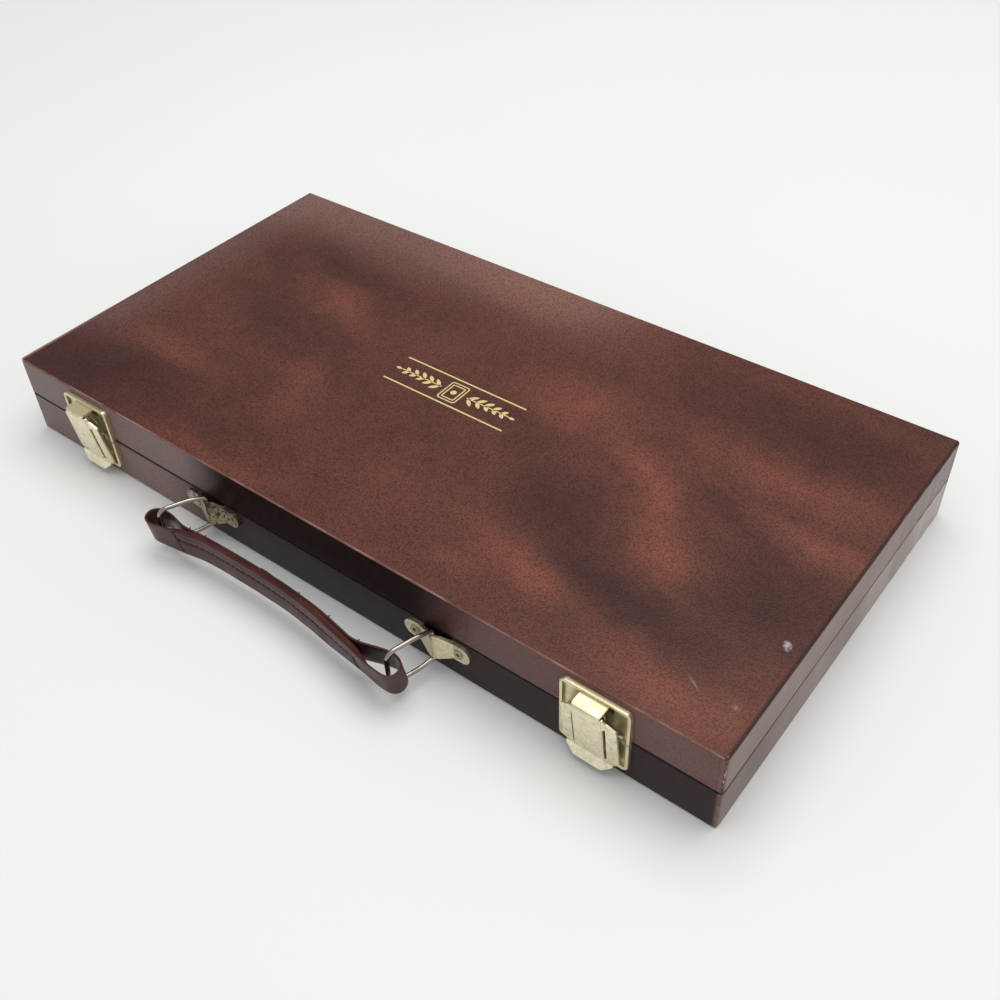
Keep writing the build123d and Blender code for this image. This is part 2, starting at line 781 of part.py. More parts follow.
def loop_ends():
    """Plan places of each loop's round end and of its neck on the strap."""
    left_x, left_out = bar_place("left")
    right_x, right_out = bar_place("right")
    rise = (right_out - left_out) / (right_x - left_x)
    ends = {}
    for name, x, out, side in (("left", left_x, left_out, -1), ("right", right_x, right_out, 1)):
        end = (x + side * loop_past_bar, front - out)
        neck_x = x - side * loop_neck_reach
        neck_out = out - side * loop_neck_reach * rise - strap_bow
        ends[name] = (end, (neck_x, front - neck_out))
    return ends


def strap_line(ends):
    """Middle line of the strap between the two necks, bowed towards the case."""
    left_neck = ends["left"][1]
    right_neck = ends["right"][1]
    middle = ((left_neck[0] + right_neck[0]) / 2, (left_neck[1] + right_neck[1]) / 2 + strap_sag)
    return ThreePointArc(left_neck, middle, right_neck)


def upright(sketch, low, high):
    return Pos(0, 0, low) * extrude(sketch, high - low, dir=(0, 0, 1))


def handle_strap():
    """Folded strap on edge, with a teardrop loop round each ring's outer bar."""
    ends = loop_ends()
    line = strap_line(ends)
    outline = trace(line, strap_thickness)
    hollow = None
    for end, neck in ends.values():
        outline += hull_of(Pos(*end) * Circle(loop_radius), Pos(*neck) * Circle(strap_thickness / 2))
        eye = hull_of(Pos(*end) * Circle(loop_radius - strap_layer), Pos(*neck) * Circle(part_clearance / 2))
        hollow = eye if hollow is None else hollow + eye
    strap = upright(outline - hollow, strap_low, strap_low + strap_width)
    return strap - handle_core(part_clearance / 10)


def handle_core(grow=0.0):
    """Stiffener sewn inside the middle of the strap."""
    line = strap_line(loop_ends())
    middle = line.trim(core_end_margin, 1 - core_end_margin)
    core = trace(middle, core_thickness + 2 * grow)
    half = core_width / 2 + grow
    return upright(core, strap_middle - half, strap_middle + half)


def handle():
    parts = {}
    for name, x in bracket_positions.items():
        parts["handle_bracket_" + name] = bracket(x)
        parts["handle_ring_" + name] = handle_ring(name)
    parts["handle_bracket_rivets"] = bracket_rivets()
    parts["handle_strap"] = handle_strap()
    parts["handle_core"] = handle_core()
    return parts


# ---------------------------------------------------------------- write

def all_parts():
    parts = base_shell()
    parts["insert_tray"] = insert_tray()
    parts.update(lid_shell())
    parts.update(hinges())
    parts["hinge_base_screws"] = hinge_screws(-1)
    parts["hinge_lid_screws"] = hinge_screws(1)
    parts.update(latches())
    parts.update(handle())
    return parts


def main():
    os.makedirs("parts", exist_ok=True)
    for name, shape in all_parts().items():
        solid = Compound(children=shape) if isinstance(shape, list) else shape
        export_step(solid, "parts/" + name + ".step")


main()
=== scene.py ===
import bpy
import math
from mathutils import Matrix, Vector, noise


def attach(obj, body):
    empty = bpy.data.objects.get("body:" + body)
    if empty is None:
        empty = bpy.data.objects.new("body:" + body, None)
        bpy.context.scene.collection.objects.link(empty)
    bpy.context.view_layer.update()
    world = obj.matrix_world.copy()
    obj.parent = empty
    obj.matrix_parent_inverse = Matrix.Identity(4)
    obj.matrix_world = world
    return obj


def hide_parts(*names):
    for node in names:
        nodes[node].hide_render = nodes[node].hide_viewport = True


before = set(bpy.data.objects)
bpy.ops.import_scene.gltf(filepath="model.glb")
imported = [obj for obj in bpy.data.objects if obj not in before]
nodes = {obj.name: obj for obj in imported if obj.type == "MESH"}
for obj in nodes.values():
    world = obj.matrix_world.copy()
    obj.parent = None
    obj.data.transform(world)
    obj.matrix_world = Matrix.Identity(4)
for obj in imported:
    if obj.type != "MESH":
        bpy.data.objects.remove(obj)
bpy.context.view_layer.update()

# Looks of the rummy tile case, in the shared frame. Shapes and texture sizes are in millimetres;
# the limits on x, y and z inside the finishes are in metres, as the nodes read them.
# `out` is a distance in front of the case's front face.

scene = bpy.context.scene

MM = 0.001
LENGTH, WIDTH, HEIGHT = 385.0, 198.0, 42.2
BASE_HEIGHT, LID_LOW = 21.5, 21.8
FRONT = -WIDTH / 2
SKIN = 0.6
EDGE = 1.0
FOIL = 0.05
TURN_IN = 6.0
TURN_UNDER = 12.0
RAIL_INSET = 5.6
STRAP_LOW, STRAP_WIDTH = 7.9, 12.7
# direction that the camera sees mirrored in the lid's top
LID_MIRROR = (-0.46, 0.57, 0.68)
RANGE_SOCKETS = ("From Min", "From Max", "To Min", "To Max")


# ---------------------------------------------------------------- material nodes

class Finish:
    """One material's node tree, built by short calls."""

    def __init__(self, name):
        self.material = bpy.data.materials.new(name)
        self.material.use_nodes = True
        self.tree = self.material.node_tree
        self.shader = self.tree.nodes["Principled BSDF"]
        self.place = self.add("ShaderNodeTexCoord").outputs["Object"]

    def add(self, kind, **settings):
        node = self.tree.nodes.new(kind)
        for key, value in settings.items():
            setattr(node, key, value)
        return node

    def feed(self, socket, value):
        """Link a socket to another one, or set its number."""
        if isinstance(value, bpy.types.NodeSocket):
            self.tree.links.new(value, socket)
        else:
            socket.default_value = value

    def noise(self, size, detail=4.0, rough=0.5, twist=0.0, stretch=None):
        """Noise with features about `size` millimetres across."""
        node = self.add("ShaderNodeTexNoise")
        self.feed(node.inputs["Vector"], self.stretched(stretch))
        node.inputs["Scale"].default_value = 1 / (size * MM)
        node.inputs["Detail"].default_value = detail
        node.inputs["Roughness"].default_value = rough
        node.inputs["Distortion"].default_value = twist
        return node.outputs["Fac"]

    def cells(self, size, feature="F1", stretch=None):
        """Distance to the centres or the edges of cells about `size` millimetres across."""
        node = self.add("ShaderNodeTexVoronoi", feature=feature)
        self.feed(node.inputs["Vector"], self.stretched(stretch))
        node.inputs["Scale"].default_value = 1 / (size * MM)
        return node.outputs["Distance"]

    def stretched(self, stretch):
        """Object place, drawn out along an axis whose factor is small."""
        if stretch is None:
            return self.place
        node = self.add("ShaderNodeMapping")
        self.feed(node.inputs["Vector"], self.place)
        node.inputs["Scale"].default_value = stretch
        return node.outputs["Vector"]

    def axis(self, name):
        """One coordinate of the object place, in metres."""
        node = self.add("ShaderNodeSeparateXYZ")
        self.feed(node.inputs[0], self.place)
        return node.outputs[name]

    def math(self, operation, a, b=0.5, c=0.5, clamp=False):
        node = self.add("ShaderNodeMath", operation=operation, use_clamp=clamp)
        for socket, value in zip(node.inputs, (a, b, c)):
            self.feed(socket, value)
        return node.outputs[0]

    def span(self, value, low, high, to_low=0.0, to_high=1.0):
        """Smooth step of a value between two limits."""
        node = self.add("ShaderNodeMapRange", interpolation_type="SMOOTHSTEP")
        self.feed(node.inputs["Value"], value)
        for name, number in zip(RANGE_SOCKETS, (low, high, to_low, to_high)):
            node.inputs[name].default_value = number
        return node.outputs["Result"]

    def ramp(self, value, *stops):
        node = self.add("ShaderNodeValToRGB")
        self.feed(node.inputs["Fac"], value)
        points = node.color_ramp.elements
        while len(points) < len(stops):
            points.new(0.5)
        for point, (place, colour) in zip(points, stops):
            point.position = place
            point.color = (*colour, 1)
        return node.outputs["Color"]

    def blend(self, amount, a, b):
        node = self.add("ShaderNodeMix", data_type="RGBA")
        self.feed(node.inputs[0], amount)
        self.colour(node.inputs[6], a)
        self.colour(node.inputs[7], b)
        return node.outputs[2]

    def colour(self, socket, value):
        """Feed a colour socket from another socket or from three numbers."""
        self.feed(socket, value if isinstance(value, bpy.types.NodeSocket) else (*value, 1))

    def patch(self, at, x, y, half_x, half_y, turn=0.0):
        """Soft ellipse on the plan: 1 in its middle, 0 at its rim."""
        node = self.add("ShaderNodeMapping", vector_type="TEXTURE")
        self.feed(node.inputs["Vector"], at)
        node.inputs["Location"].default_value = (x * MM, y * MM, 0.0)
        node.inputs["Rotation"].default_value = (0.0, 0.0, math.radians(turn))
        node.inputs["Scale"].default_value = (half_x * MM, half_y * MM, 1.0)
        ball = self.add("ShaderNodeTexGradient", gradient_type="SPHERICAL")
        self.feed(ball.inputs[0], node.outputs[0])
        return ball.outputs["Fac"]

    def bump(self, height, depth, strength):
        """Bump whose full height is `depth` millimetres."""
        node = self.add("ShaderNodeBump")
        node.inputs["Distance"].default_value = depth * MM
        node.inputs["Strength"].default_value = strength
        self.feed(node.inputs["Height"], height)
        return node.outputs["Normal"]

    def done(self, colour, roughness, normal, **extra):
        """Feed the shader and hand back the finished material."""
        self.colour(self.shader.inputs["Base Color"], colour)
        self.feed(self.shader.inputs["Roughness"], roughness)
        self.feed(self.shader.inputs["Normal"], normal)
        for name, value in extra.items():
            self.feed(self.shader.inputs[name.replace("_", " ")], value)
        return self.material


# heights in metres between which a finish passes from the sides to the lid's top, and from base to lid
TOP_FADE = (0.0404, 0.0418)
SEAM_RISE = (0.0208, 0.0222)
SEAM_FALL = (0.0222, 0.0208)
SEAM_LEVEL = 0.02165
PIT_COLOUR = (0.010, 0.0035, 0.003)
NO_GLOSS, SIDE_GLOSS, TOP_GLOSS = (0.02,) * 3, (0.20,) * 3, (0.22,) * 3
# scuff, scratch and nick on the lid's top: x, y, half sizes, turn
MARKS = ((185.5, -44.5, 1.9, 3.0, 30), (167, -78, 5.0, 0.7, -32), (184, -79, 1.6, 1.6, 0))
SWAY = 0.03
SWAY_SCALE = 26
# reddish (+) and dark (-) clouds of the lid: x, y, half sizes, turn, weight
CLOUDS = [
    (-30, 92, 80, 24, 0, 0.46), (-90, 22, 34, 13, -25, 0.36), (-35, 22, 34, 14, 0, 0.14),
    (46, 27, 46, 24, 4, 0.42), (150, 35, 54, 18, -8, 0.34), (174, 5, 38, 13, 0, 0.44),
    (95, 3, 36, 12, -35, 0.36), (119, -24, 42, 14, -42, 0.46), (85, -68, 46, 15, -10, 0.34),
    (98, -77, 20, 12, 0, 0.26), (62, -83, 18, 10, 0, 0.26), (165, -88, 52, 22, 0, 0.42),
    (-64, -36, 32, 15, -55, 0.28), (-140, -52, 40, 14, 5, 0.28), (-50, -96, 50, 10, 0, 0.24),
    (-172, -84, 84, 34, 4, -0.46), (145, 64, 90, 26, -4, -0.28), (172, -32, 42, 36, 0, -0.42),
    (140, 2, 36, 13, -15, -0.24), (84, -40, 60, 24, -35, -0.36), (134, -64, 60, 17, -8, -0.38),
    (-120, 50, 70, 17, -10, -0.24), (-150, 34, 36, 12, -25, -0.20), (-112, -2, 70, 24, -15, -0.20),
    (-90, -72, 70, 22, 0, -0.20), (15, -66, 60, 22, 0, 0.08), (20, 4, 50, 14, 0, -0.12),
]


def swayed(f):
    """Object place pushed about by a broad noise, so that the clouds lose their outline."""
    sway = f.add("ShaderNodeTexNoise")
    f.feed(sway.inputs["Vector"], f.place)
    sway.inputs["Scale"].default_value = SWAY_SCALE
    sway.inputs["Detail"].default_value = 4
    shift = f.add("ShaderNodeVectorMath", operation="MULTIPLY_ADD")
    f.feed(shift.inputs[0], sway.outputs["Color"])
    shift.inputs[1].default_value = (SWAY,) * 3
    f.feed(shift.inputs[2], f.place)
    back = f.add("ShaderNodeVectorMath", operation="SUBTRACT")
    f.feed(back.inputs[0], shift.outputs[0])
    back.inputs[1].default_value = (SWAY / 2,) * 3
    return back.outputs[0]


def clouded(f, mottle):
    """Sum of the lid's clouds and of finer and finer noise, about 0 to 1."""
    spot = swayed(f)
    total = f.math("MULTIPLY_ADD", f.noise(60, 3, 0.55, 0.6), 0.34, 0.10)
    for x, y, half_x, half_y, turn, weight in CLOUDS:
        total = f.math("MULTIPLY_ADD", f.patch(spot, x, y, half_x, half_y, turn), weight, total)
    total = f.math("MULTIPLY_ADD", f.noise(16, 3, 0.6, 0.8), 0.22, total)
    total = f.math("MULTIPLY_ADD", f.noise(5, 5, 0.75, stretch=(0.8, 1.2, 1)), 0.34, total)
    return f.math("MULTIPLY_ADD", mottle, 0.40, f.math("SUBTRACT", total, 0.33))


def vinyl():
    """Marbled oxblood vinyl with a fine pebble grain, worn at its edges, with painted sheen, reflections and
    shade on its top and sides.
    """
    f = Finish("vinyl_oxblood")
    mottle = f.noise(1.5, 4, 0.7)
    total = clouded(f, mottle)
    top = f.span(f.axis("Z"), *TOP_FADE)
    colour = f.ramp(
        total,
        (0.0, (0.052, 0.0135, 0.0095)), (0.28, (0.090, 0.0265, 0.0180)),
        (0.55, (0.148, 0.0450, 0.0285)), (0.95, (0.250, 0.0730, 0.0420)),
    )
    # sides with painted reflections and shade, top with a painted sheen
    colour = f.blend(top, side_tones_with_painted_light(f, total), top_painted_sheen(f, colour))
    grain = f.cells(0.8)
    pits = f.math("MULTIPLY", f.span(grain, 0.3, 0.8), f.span(f.axis("Z"), *TOP_FADE, 0.26, 0.46))
    colour = edge_wear_and_painted_light(f, f.blend(pits, colour, PIT_COLOUR))
    height = f.math("MULTIPLY_ADD", mottle, 0.4, f.math("MULTIPLY", f.span(grain, 0.1, 0.7), -1.0))
    rough = f.math("MULTIPLY_ADD", f.noise(18, 2), 0.10, f.span(f.axis("Z"), *TOP_FADE, 0.26, 0.33))
    gloss = f.blend(top, f.blend(front_middle(f), SIDE_GLOSS, NO_GLOSS), TOP_GLOSS)
    return f.done(colour, rough, f.bump(height, 0.09, 0.7), Specular_IOR_Level=gloss)


def top_painted_sheen(f, colour):
    """Lid top with a painted sheen: paler towards its back edge and its left end."""
    x, y = f.axis("X"), f.axis("Y")
    # painted sheen along the back edge of the top
    back = f.math("MULTIPLY", f.span(y, 0.050, 0.098), f.span(x, 0.070, -0.010))
    colour = f.blend(f.math("MULTIPLY", back, 0.52), colour, (0.300, 0.175, 0.145))
    # painted sheen over the left end of the top
    left = f.math("MULTIPLY", f.span(x, -0.160, -0.192), f.span(y, -0.075, -0.045))
    return f.blend(f.math("MULTIPLY", left, 0.30), colour, (0.250, 0.165, 0.150))


def front_middle(f):
    """1 on the stretch of the lid's front face behind the handle."""
    x = f.axis("X")
    along = f.math("MULTIPLY", f.span(x, -0.078, -0.046), f.span(x, 0.090, 0.050))
    return f.math("MULTIPLY", along, f.span(f.axis("Z"), *SEAM_RISE))


def side_tones_with_painted_light(f, total):
    """Side colours with painted light: pale at the ends, partly rubbed and partly a painted sheen, and
    darker behind the handle and low on the base, a painted reflection of the handle and of the shaded floor.
    """
    x, z = f.axis("X"), f.axis("Z")
    # dark tone: painted reflection of the handle and painted shade of the floor in front of the sides
    dark = f.ramp(
        total,
        (0.1, (0.008, 0.0025, 0.0025)), (0.5, (0.015, 0.0042, 0.0045)), (0.9, (0.030, 0.0090, 0.0090)),
    )
    pale = f.ramp(
        total,
        (0.1, (0.110, 0.0440, 0.0410)), (0.5, (0.145, 0.0640, 0.0585)), (0.9, (0.190, 0.0890, 0.0800)),
    )
    # painted sheen, growing towards the left end
    pale = f.blend(f.span(x, 0.080, -0.080, 0.0, 0.45), pale, (0.270, 0.190, 0.178))
    lid_ends = f.math("MAXIMUM", f.span(x, -0.050, -0.085), f.span(x, 0.055, 0.092))
    lid_side = f.math("MULTIPLY", lid_ends, f.span(z, *SEAM_RISE))
    base_side = f.math("MULTIPLY", f.span(x, -0.050, -0.100), f.span(z, *SEAM_FALL))
    return f.blend(f.math("ADD", lid_side, base_side), dark, pale)


def right_face_painted_light(f, colour):
    """Right face under a pale haze, partly a dusty bloom and partly a painted reflection, with a painted
    shadow line along its top edge.
    """
    x, y, z = (f.axis(name) for name in "XYZ")
    # pale haze in upright streaks, partly a painted reflection of the bright room
    streaks = f.span(f.noise(30, 2, stretch=(1, 1, 0.2)), 0.3, 0.7, 0.60, 0.95)
    haze_and_sheen = f.math("MULTIPLY", f.span(x, 0.1900, 0.1918), streaks)
    haze_and_sheen = f.math("MULTIPLY", haze_and_sheen, f.span(z, 0.0417, 0.0409))
    # the haze's colour: paler low on the base towards the back, darker on the lid towards the back
    low = f.math("MULTIPLY", f.span(z, *SEAM_FALL), f.span(y, -0.080, 0.090, 0.0, 0.9))
    pale = f.blend(low, (0.240, 0.152, 0.128), (0.460, 0.372, 0.338))
    lid_back = f.math("MULTIPLY", f.span(y, 0.045, 0.080, 0.0, 0.7), f.span(z, *SEAM_RISE))
    pale = f.blend(lid_back, pale, (0.10, 0.055, 0.045))
    colour = f.blend(haze_and_sheen, colour, pale)
    # painted shadow line along the right face's top edge
    rim = f.math("MULTIPLY", f.span(x, 0.1906, 0.1914), f.span(z, 0.0406, 0.0411))
    return f.blend(f.math("MULTIPLY", rim, 0.75), colour, (0.030, 0.0110, 0.0090))


def seam_painted_shade(f, colour):
    """Painted shade in the gap along the seam: a dark line, wider towards the front."""
    off_seam = f.math("ABSOLUTE", f.math("SUBTRACT", f.axis("Z"), SEAM_LEVEL))
    lips = f.math("SUBTRACT", off_seam, f.span(f.axis("Y"), -0.040, -0.096, 0.0005, 0.0009))
    return f.blend(f.span(lips, 0.0003, -0.0002, 0.0, 0.9), colour, (0.008, 0.0030, 0.0030))


def rubbed_and_highlit_edges(f, colour):
    """Thin pale lines where the lid's front edge and front left fold are rubbed and carry a painted
    highlight.
    """
    x, y = f.axis("X"), f.axis("Y")
    near_top = f.span(f.axis("Z"), 0.0410, 0.0417)
    # rubbed wear and painted highlight along the top's front edge
    line = f.math("MULTIPLY", f.span(y, -0.0988, -0.0982, 1.0, 0.0), near_top)
    broken = f.span(f.noise(16, 3, 0.7, stretch=(0.5, 1, 1)), 0.38, 0.62, 0.25, 0.9)
    colour = f.blend(f.math("MULTIPLY", line, broken), colour, (0.42, 0.235, 0.195))
    # rubbed wear and painted highlight along the front left fold
    fold = f.math("MULTIPLY", near_top, f.span(y, -0.040, -0.080))
    fold = f.math("MULTIPLY", f.span(x, -0.1896, -0.1912), fold)
    return f.blend(f.math("MULTIPLY", fold, 0.8), colour, (0.34, 0.18, 0.145))


def worn_corner(f, colour, fray):
    """Front right corner, rubbed through to the fibre and cracked."""
    corner = f.math("MULTIPLY", f.span(f.axis("X"), 0.1905, 0.1919), f.span(f.axis("Y"), -0.0966, -0.0982))
    rubbed = f.math("MULTIPLY", corner, f.span(fray, 0.34, 0.44))
    tan = f.ramp(
        fray,
        (0.40, (0.040, 0.016, 0.011)), (0.54, (0.170, 0.080, 0.048)), (0.68, (0.50, 0.34, 0.22)),
    )
    crack = f.span(f.cells(1.4, "DISTANCE_TO_EDGE", stretch=(1, 1, 0.5)), 0.0, 0.10, 1.0, 0.0)
    tan = f.blend(crack, tan, (0.012, 0.006, 0.005))
    lower = f.span(f.axis("Z"), 0.018, 0.024, 0.55, 1.0)
    return f.blend(f.math("MULTIPLY", rubbed, lower), colour, tan)


def edge_wear_and_painted_light(f, colour):
    """Wear along the covering's edges with painted highlights, reflections and shade, and small marks on the
    lid's top.
    """
    fray = f.noise(1.3, 4, 0.75, stretch=(1, 1, 0.30))
    # painted reflection and shadow on the right face, painted shade in the seam, painted highlights on the
    # front edges
    colour = rubbed_and_highlit_edges(f, seam_painted_shade(f, right_face_painted_light(f, colour)))
    colour = worn_corner(f, colour, fray)
    scuff, scratch, nick = (f.patch(f.place, *mark) for mark in MARKS)
    scuff = f.math("MULTIPLY", scuff, f.span(fray, 0.46, 0.56, 0.3, 1.2))
    marks = f.math("ADD", scuff, f.math("MULTIPLY", f.math("ADD", scratch, nick), 0.22))
    marks = f.math("MULTIPLY", marks, f.span(f.axis("Z"), *TOP_FADE))
    return f.blend(f.math("MULTIPLY", marks, 1.2, clamp=True), colour, (0.52, 0.48, 0.47))


def strap_leather(name, low, high):
    """Smooth leathercloth of the handle, from its dark tone to its light tone."""
    f = Finish(name)
    cloud = f.math("MULTIPLY_ADD", f.noise(0.9, 3), 0.35, f.math("MULTIPLY", f.noise(11, 3, 0.6), 0.8))
    colour = f.ramp(cloud, (0.3, low), (0.8, high))
    height = f.math("MULTIPLY_ADD", f.noise(0.35, 2), 0.4, f.math("MULTIPLY", f.cells(0.6), -0.6))
    rough = f.span(f.noise(6, 2), 0.3, 0.7, 0.30, 0.44)
    return f.done(colour, rough, f.bump(height, 0.04, 0.5), Specular_IOR_Level=0.25)


def metal(name, base, worn, rough, wear_from, dirt=0.5, size=6.0, pits=0.012):
    """Thin plating with soft worn patches, dull specks and fine scratches."""
    f = Finish(name)
    tone = f.noise(size * 0.8, 4, 0.6)
    colour = f.blend(f.span(tone, 0.35, 0.7), base, tuple(c * 0.80 for c in base))
    patches = f.span(f.noise(size, 5, 0.62), wear_from, wear_from + 0.12)
    colour = f.blend(patches, colour, worn)
    speck = f.span(f.noise(1.1, 4, 0.8), 0.63, 0.74, 0.0, dirt)
    colour = f.blend(speck, colour, (0.045, 0.032, 0.018))
    scratch = f.noise(0.5, 2, 0.6, stretch=(1, 1, 0.08))
    height = f.math("MULTIPLY_ADD", scratch, 0.35, f.noise(3.5, 3))
    gloss = f.math("MULTIPLY_ADD", patches, 0.14, f.span(tone, 0.3, 0.75, rough, rough + 0.12))
    return f.done(colour, gloss, f.bump(height, pits, 0.5), Metallic=1.0)


def board(name, colour, fleck):
    """Pressed greyboard or wood rail with short fibres."""
    f = Finish(name)
    fibre = f.noise(1.4, 4, 0.6, stretch=(0.2, 1, 1))
    tone = f.blend(f.span(fibre, 0.35, 0.65), colour, fleck)
    return f.done(tone, 0.85, f.bump(f.noise(0.7, 3), 0.08, 0.6))


# radians of phase per metre: a pitch of 0.7 mm for the weave and 0.4 mm for the thread
WEAVE, TWIST = 9000.0, 16000.0


def lining():
    """Paper-backed leatherette lining with a fine woven press."""
    f = Finish("lining_paper")
    warp, weft = (f.math("SINE", f.math("MULTIPLY", f.axis(name), WEAVE)) for name in "XY")
    weave = f.math("MULTIPLY", warp, weft)
    tone = f.blend(f.noise(25, 4), (0.030, 0.012, 0.011), (0.055, 0.022, 0.018))
    return f.done(tone, 0.7, f.bump(weave, 0.05, 0.6))


def flock():
    """Short nap of the formed tray, brushed in soft clouds."""
    f = Finish("flock_tray")
    nap = f.noise(0.35, 3, 0.7)
    tone = f.blend(f.noise(22, 3), (0.020, 0.010, 0.010), (0.042, 0.020, 0.018))
    tone = f.blend(f.span(nap, 0.45, 0.75, 0.0, 0.6), tone, (0.085, 0.045, 0.040))
    return f.done(tone, 0.95, f.bump(nap, 0.12, 0.8), Sheen_Weight=0.5, Sheen_Roughness=0.4)


def thread():
    """Dark sewing thread with its twist."""
    f = Finish("thread_dark")
    twist = f.math("SINE", f.math("MULTIPLY", f.math("ADD", f.axis("X"), f.axis("Z")), TWIST))
    tone = f.blend(f.span(twist, -1, 1), (0.006, 0.003, 0.003), (0.030, 0.012, 0.011))
    return f.done(tone, 0.75, f.bump(twist, 0.05, 0.7))


def foil():
    """Gold foil pressed into the grain, thin at the pits."""
    f = Finish("foil_gold")
    rub = f.noise(1.1, 4, 0.7)
    tone = f.blend(f.span(rub, 0.58, 0.68), (0.80, 0.66, 0.30), (0.40, 0.26, 0.12))
    return f.done(tone, f.span(rub, 0.3, 0.7, 0.34, 0.5), f.bump(f.cells(0.6), 0.03, 0.5), Metallic=0.35)


def backing():
    """Pressed fibre of the strap's stiffener."""
    f = Finish("core_fibre")
    tone = f.blend(f.noise(1.2, 4), (0.16, 0.10, 0.06), (0.24, 0.16, 0.10))
    return f.done(tone, 0.9, f.bump(f.noise(0.5, 3), 0.08, 0.6))


def paint(material, *names):
    """Give carried-over CAD nodes a material."""
    for name in names:
        slots = nodes[name].data.materials
        slots.clear()
        slots.append(material)


# ---------------------------------------------------------------- mesh helpers

def make_piece(name, points, faces, material, body, sharp=38.0):
    """Mesh object from points in millimetres, riding on a body."""
    mesh = bpy.data.meshes.new(name)
    mesh.from_pydata([(x * MM, y * MM, z * MM) for x, y, z in points], [], faces)
    mesh.validate()
    mesh.update()
    mesh.shade_smooth()
    mesh.set_sharp_from_angle(angle=math.radians(sharp))
    piece = bpy.data.objects.new(name, mesh)
    scene.collection.objects.link(piece)
    piece.data.materials.append(material)
    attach(piece, body)
    return piece


def bridge(faces, first, second, count):
    """Quads between two closed rings of `count` points."""
    for i in range(count):
        j = (i + 1) % count
        faces.append((first + i, first + j, second + j, second + i))


def smooth(value, low, high):
    """Smooth step from 0 at `low` to 1 at `high`."""
    t = min(max((value - low) / (high - low), 0.0), 1.0)
    return t * t * (3 - 2 * t)


# ---------------------------------------------------------------- case skins

SPACING = 1.6
ROW_STEP = 1.3
TOP_INSETS = (3, 6, 12, 24, 48, 96)
RIM_INSETS = (4.2, 2.4)
RIM_RADIUS = 0.5
LAP_RADIUS = 0.4
GLUE_GAP = 0.02
FACE_DEPTH = 3.2
RIPPLED_INSET = 2.2
# corners of the plan from front right, counter-clockwise: side in x, side in y, radius
CORNERS = ((1, -1, 1.1), (1, 1, 1.6), (-1, 1, 1.4), (-1, -1, 1.1))
CORNER_STEPS = 6


def perimeter(inset):
    """Counter-clockwise outline in plan, with the same number of points at any inset."""
    points = []
    half_x, half_y = LENGTH / 2 - inset, WIDTH / 2 - inset
    for index, (side_x, side_y, radius) in enumerate(CORNERS):
        radius = max(radius - inset, 0.02)
        start = -90 + 90 * index
        centre = (side_x * (half_x - radius), side_y * (half_y - radius))
        for step in range(CORNER_STEPS + 1):
            angle = math.radians(start + 90 * step / CORNER_STEPS)
            points.append((centre[0] + radius * math.cos(angle), centre[1] + radius * math.sin(angle)))
        next_x, next_y, next_radius = CORNERS[(index + 1) % 4]
        next_radius = max(next_radius - inset, 0.02)
        turn = math.radians(start + 90)
        end = (next_x * (half_x - next_radius) + next_radius * math.cos(turn),
               next_y * (half_y - next_radius) + next_radius * math.sin(turn))
        side_length = WIDTH if index % 2 == 0 else LENGTH
        count = int(side_length / SPACING)
        last = points[-1]
        for step in range(1, count):
            t = step / count
            points.append((last[0] + t * (end[0] - last[0]), last[1] + t * (end[1] - last[1])))
    return points


def arc(inset, height, radius, start, stop, steps=4):
    """Profile points (inset, z) on a quarter turn about (inset, height)."""
    turns = [math.radians(start + (stop - start) * i / steps) for i in range(steps + 1)]
    return [(inset - radius * math.cos(t), height + radius * math.sin(t)) for t in turns]


def wavy(x, y, z):
    """Smooth noise about 0."""
    return noise.noise(Vector((x, y, z)))


def right_folds(x, y, z):
    """Upright folds on the right face, deeper towards the back."""
    where = smooth(x, 190.5, 192.3) * smooth(y, 8, 60) * (1 - 0.35 * smooth(y, 88, 96))
    phase = y * 0.62 + 2.2 * wavy(y * 0.05, z * 0.08, 3.1) + 0.05 * (z - 20)
    return where * 0.17 * (1 + math.sin(phase)) * (0.55 + 0.45 * wavy(y * 0.08, z * 0.02, 9.0))


def ripple(x, y, z):
    """How far the skin lies behind its true face, in millimetres."""
    waves = 0.07 * (1 + wavy(x * 0.03, y * 0.03, z * 0.09))
    on_corner = smooth(x, 190.2, 191.8) * smooth(-y, 96.6, 98.2)
    dents = on_corner * 0.16 * (1 + noise.noise(Vector((x, y, z * 0.9)) * 0.8))
    on_left = smooth(-x, 188.5, 191.5) * smooth(-y, 92, 97.5) * smooth(z, 33, 39)
    left_fold = on_left * 0.14 * (1 + math.sin((x + y) * 1.5 + z * 0.7))
    return waves + right_folds(x, y, z) + dents + left_fold


def side_rows(low, high):
    """Rows between the rim's turn and the top edge's turn, close enough to carry the ripples."""
    count = int((high - low) / ROW_STEP)
    return [(0.0, low + (high - low) * i / count) for i in range(1, count)]


def lid_skin():
    """Lid covering: glued over the top and sides and turned in at the rim."""
    turned, rim = RAIL_INSET + SKIN, LID_LOW + RIM_RADIUS
    outer = [(turned, LID_LOW + TURN_IN), (turned, LID_LOW + 3)]
    outer += arc(turned - LAP_RADIUS, LID_LOW + LAP_RADIUS, -LAP_RADIUS, 0, 90, 3)
    outer += [(inset, LID_LOW) for inset in RIM_INSETS] + arc(RIM_RADIUS, rim, RIM_RADIUS, -90, 0)
    outer += side_rows(rim, HEIGHT - EDGE) + arc(EDGE, HEIGHT - EDGE, EDGE, 0, 90, 6)
    outer += [(inset, HEIGHT) for inset in TOP_INSETS]
    under = HEIGHT - SKIN + GLUE_GAP
    inner = [(96, under), (24, under), (1.7, under), (SKIN, under - 1.1), (SKIN, LID_LOW + SKIN)]
    inner += [(RAIL_INSET, LID_LOW + SKIN), (RAIL_INSET, LID_LOW + TURN_IN)]
    case_skin("lid_skin", outer, inner, "lid", "lid_cover", closed_top=True)


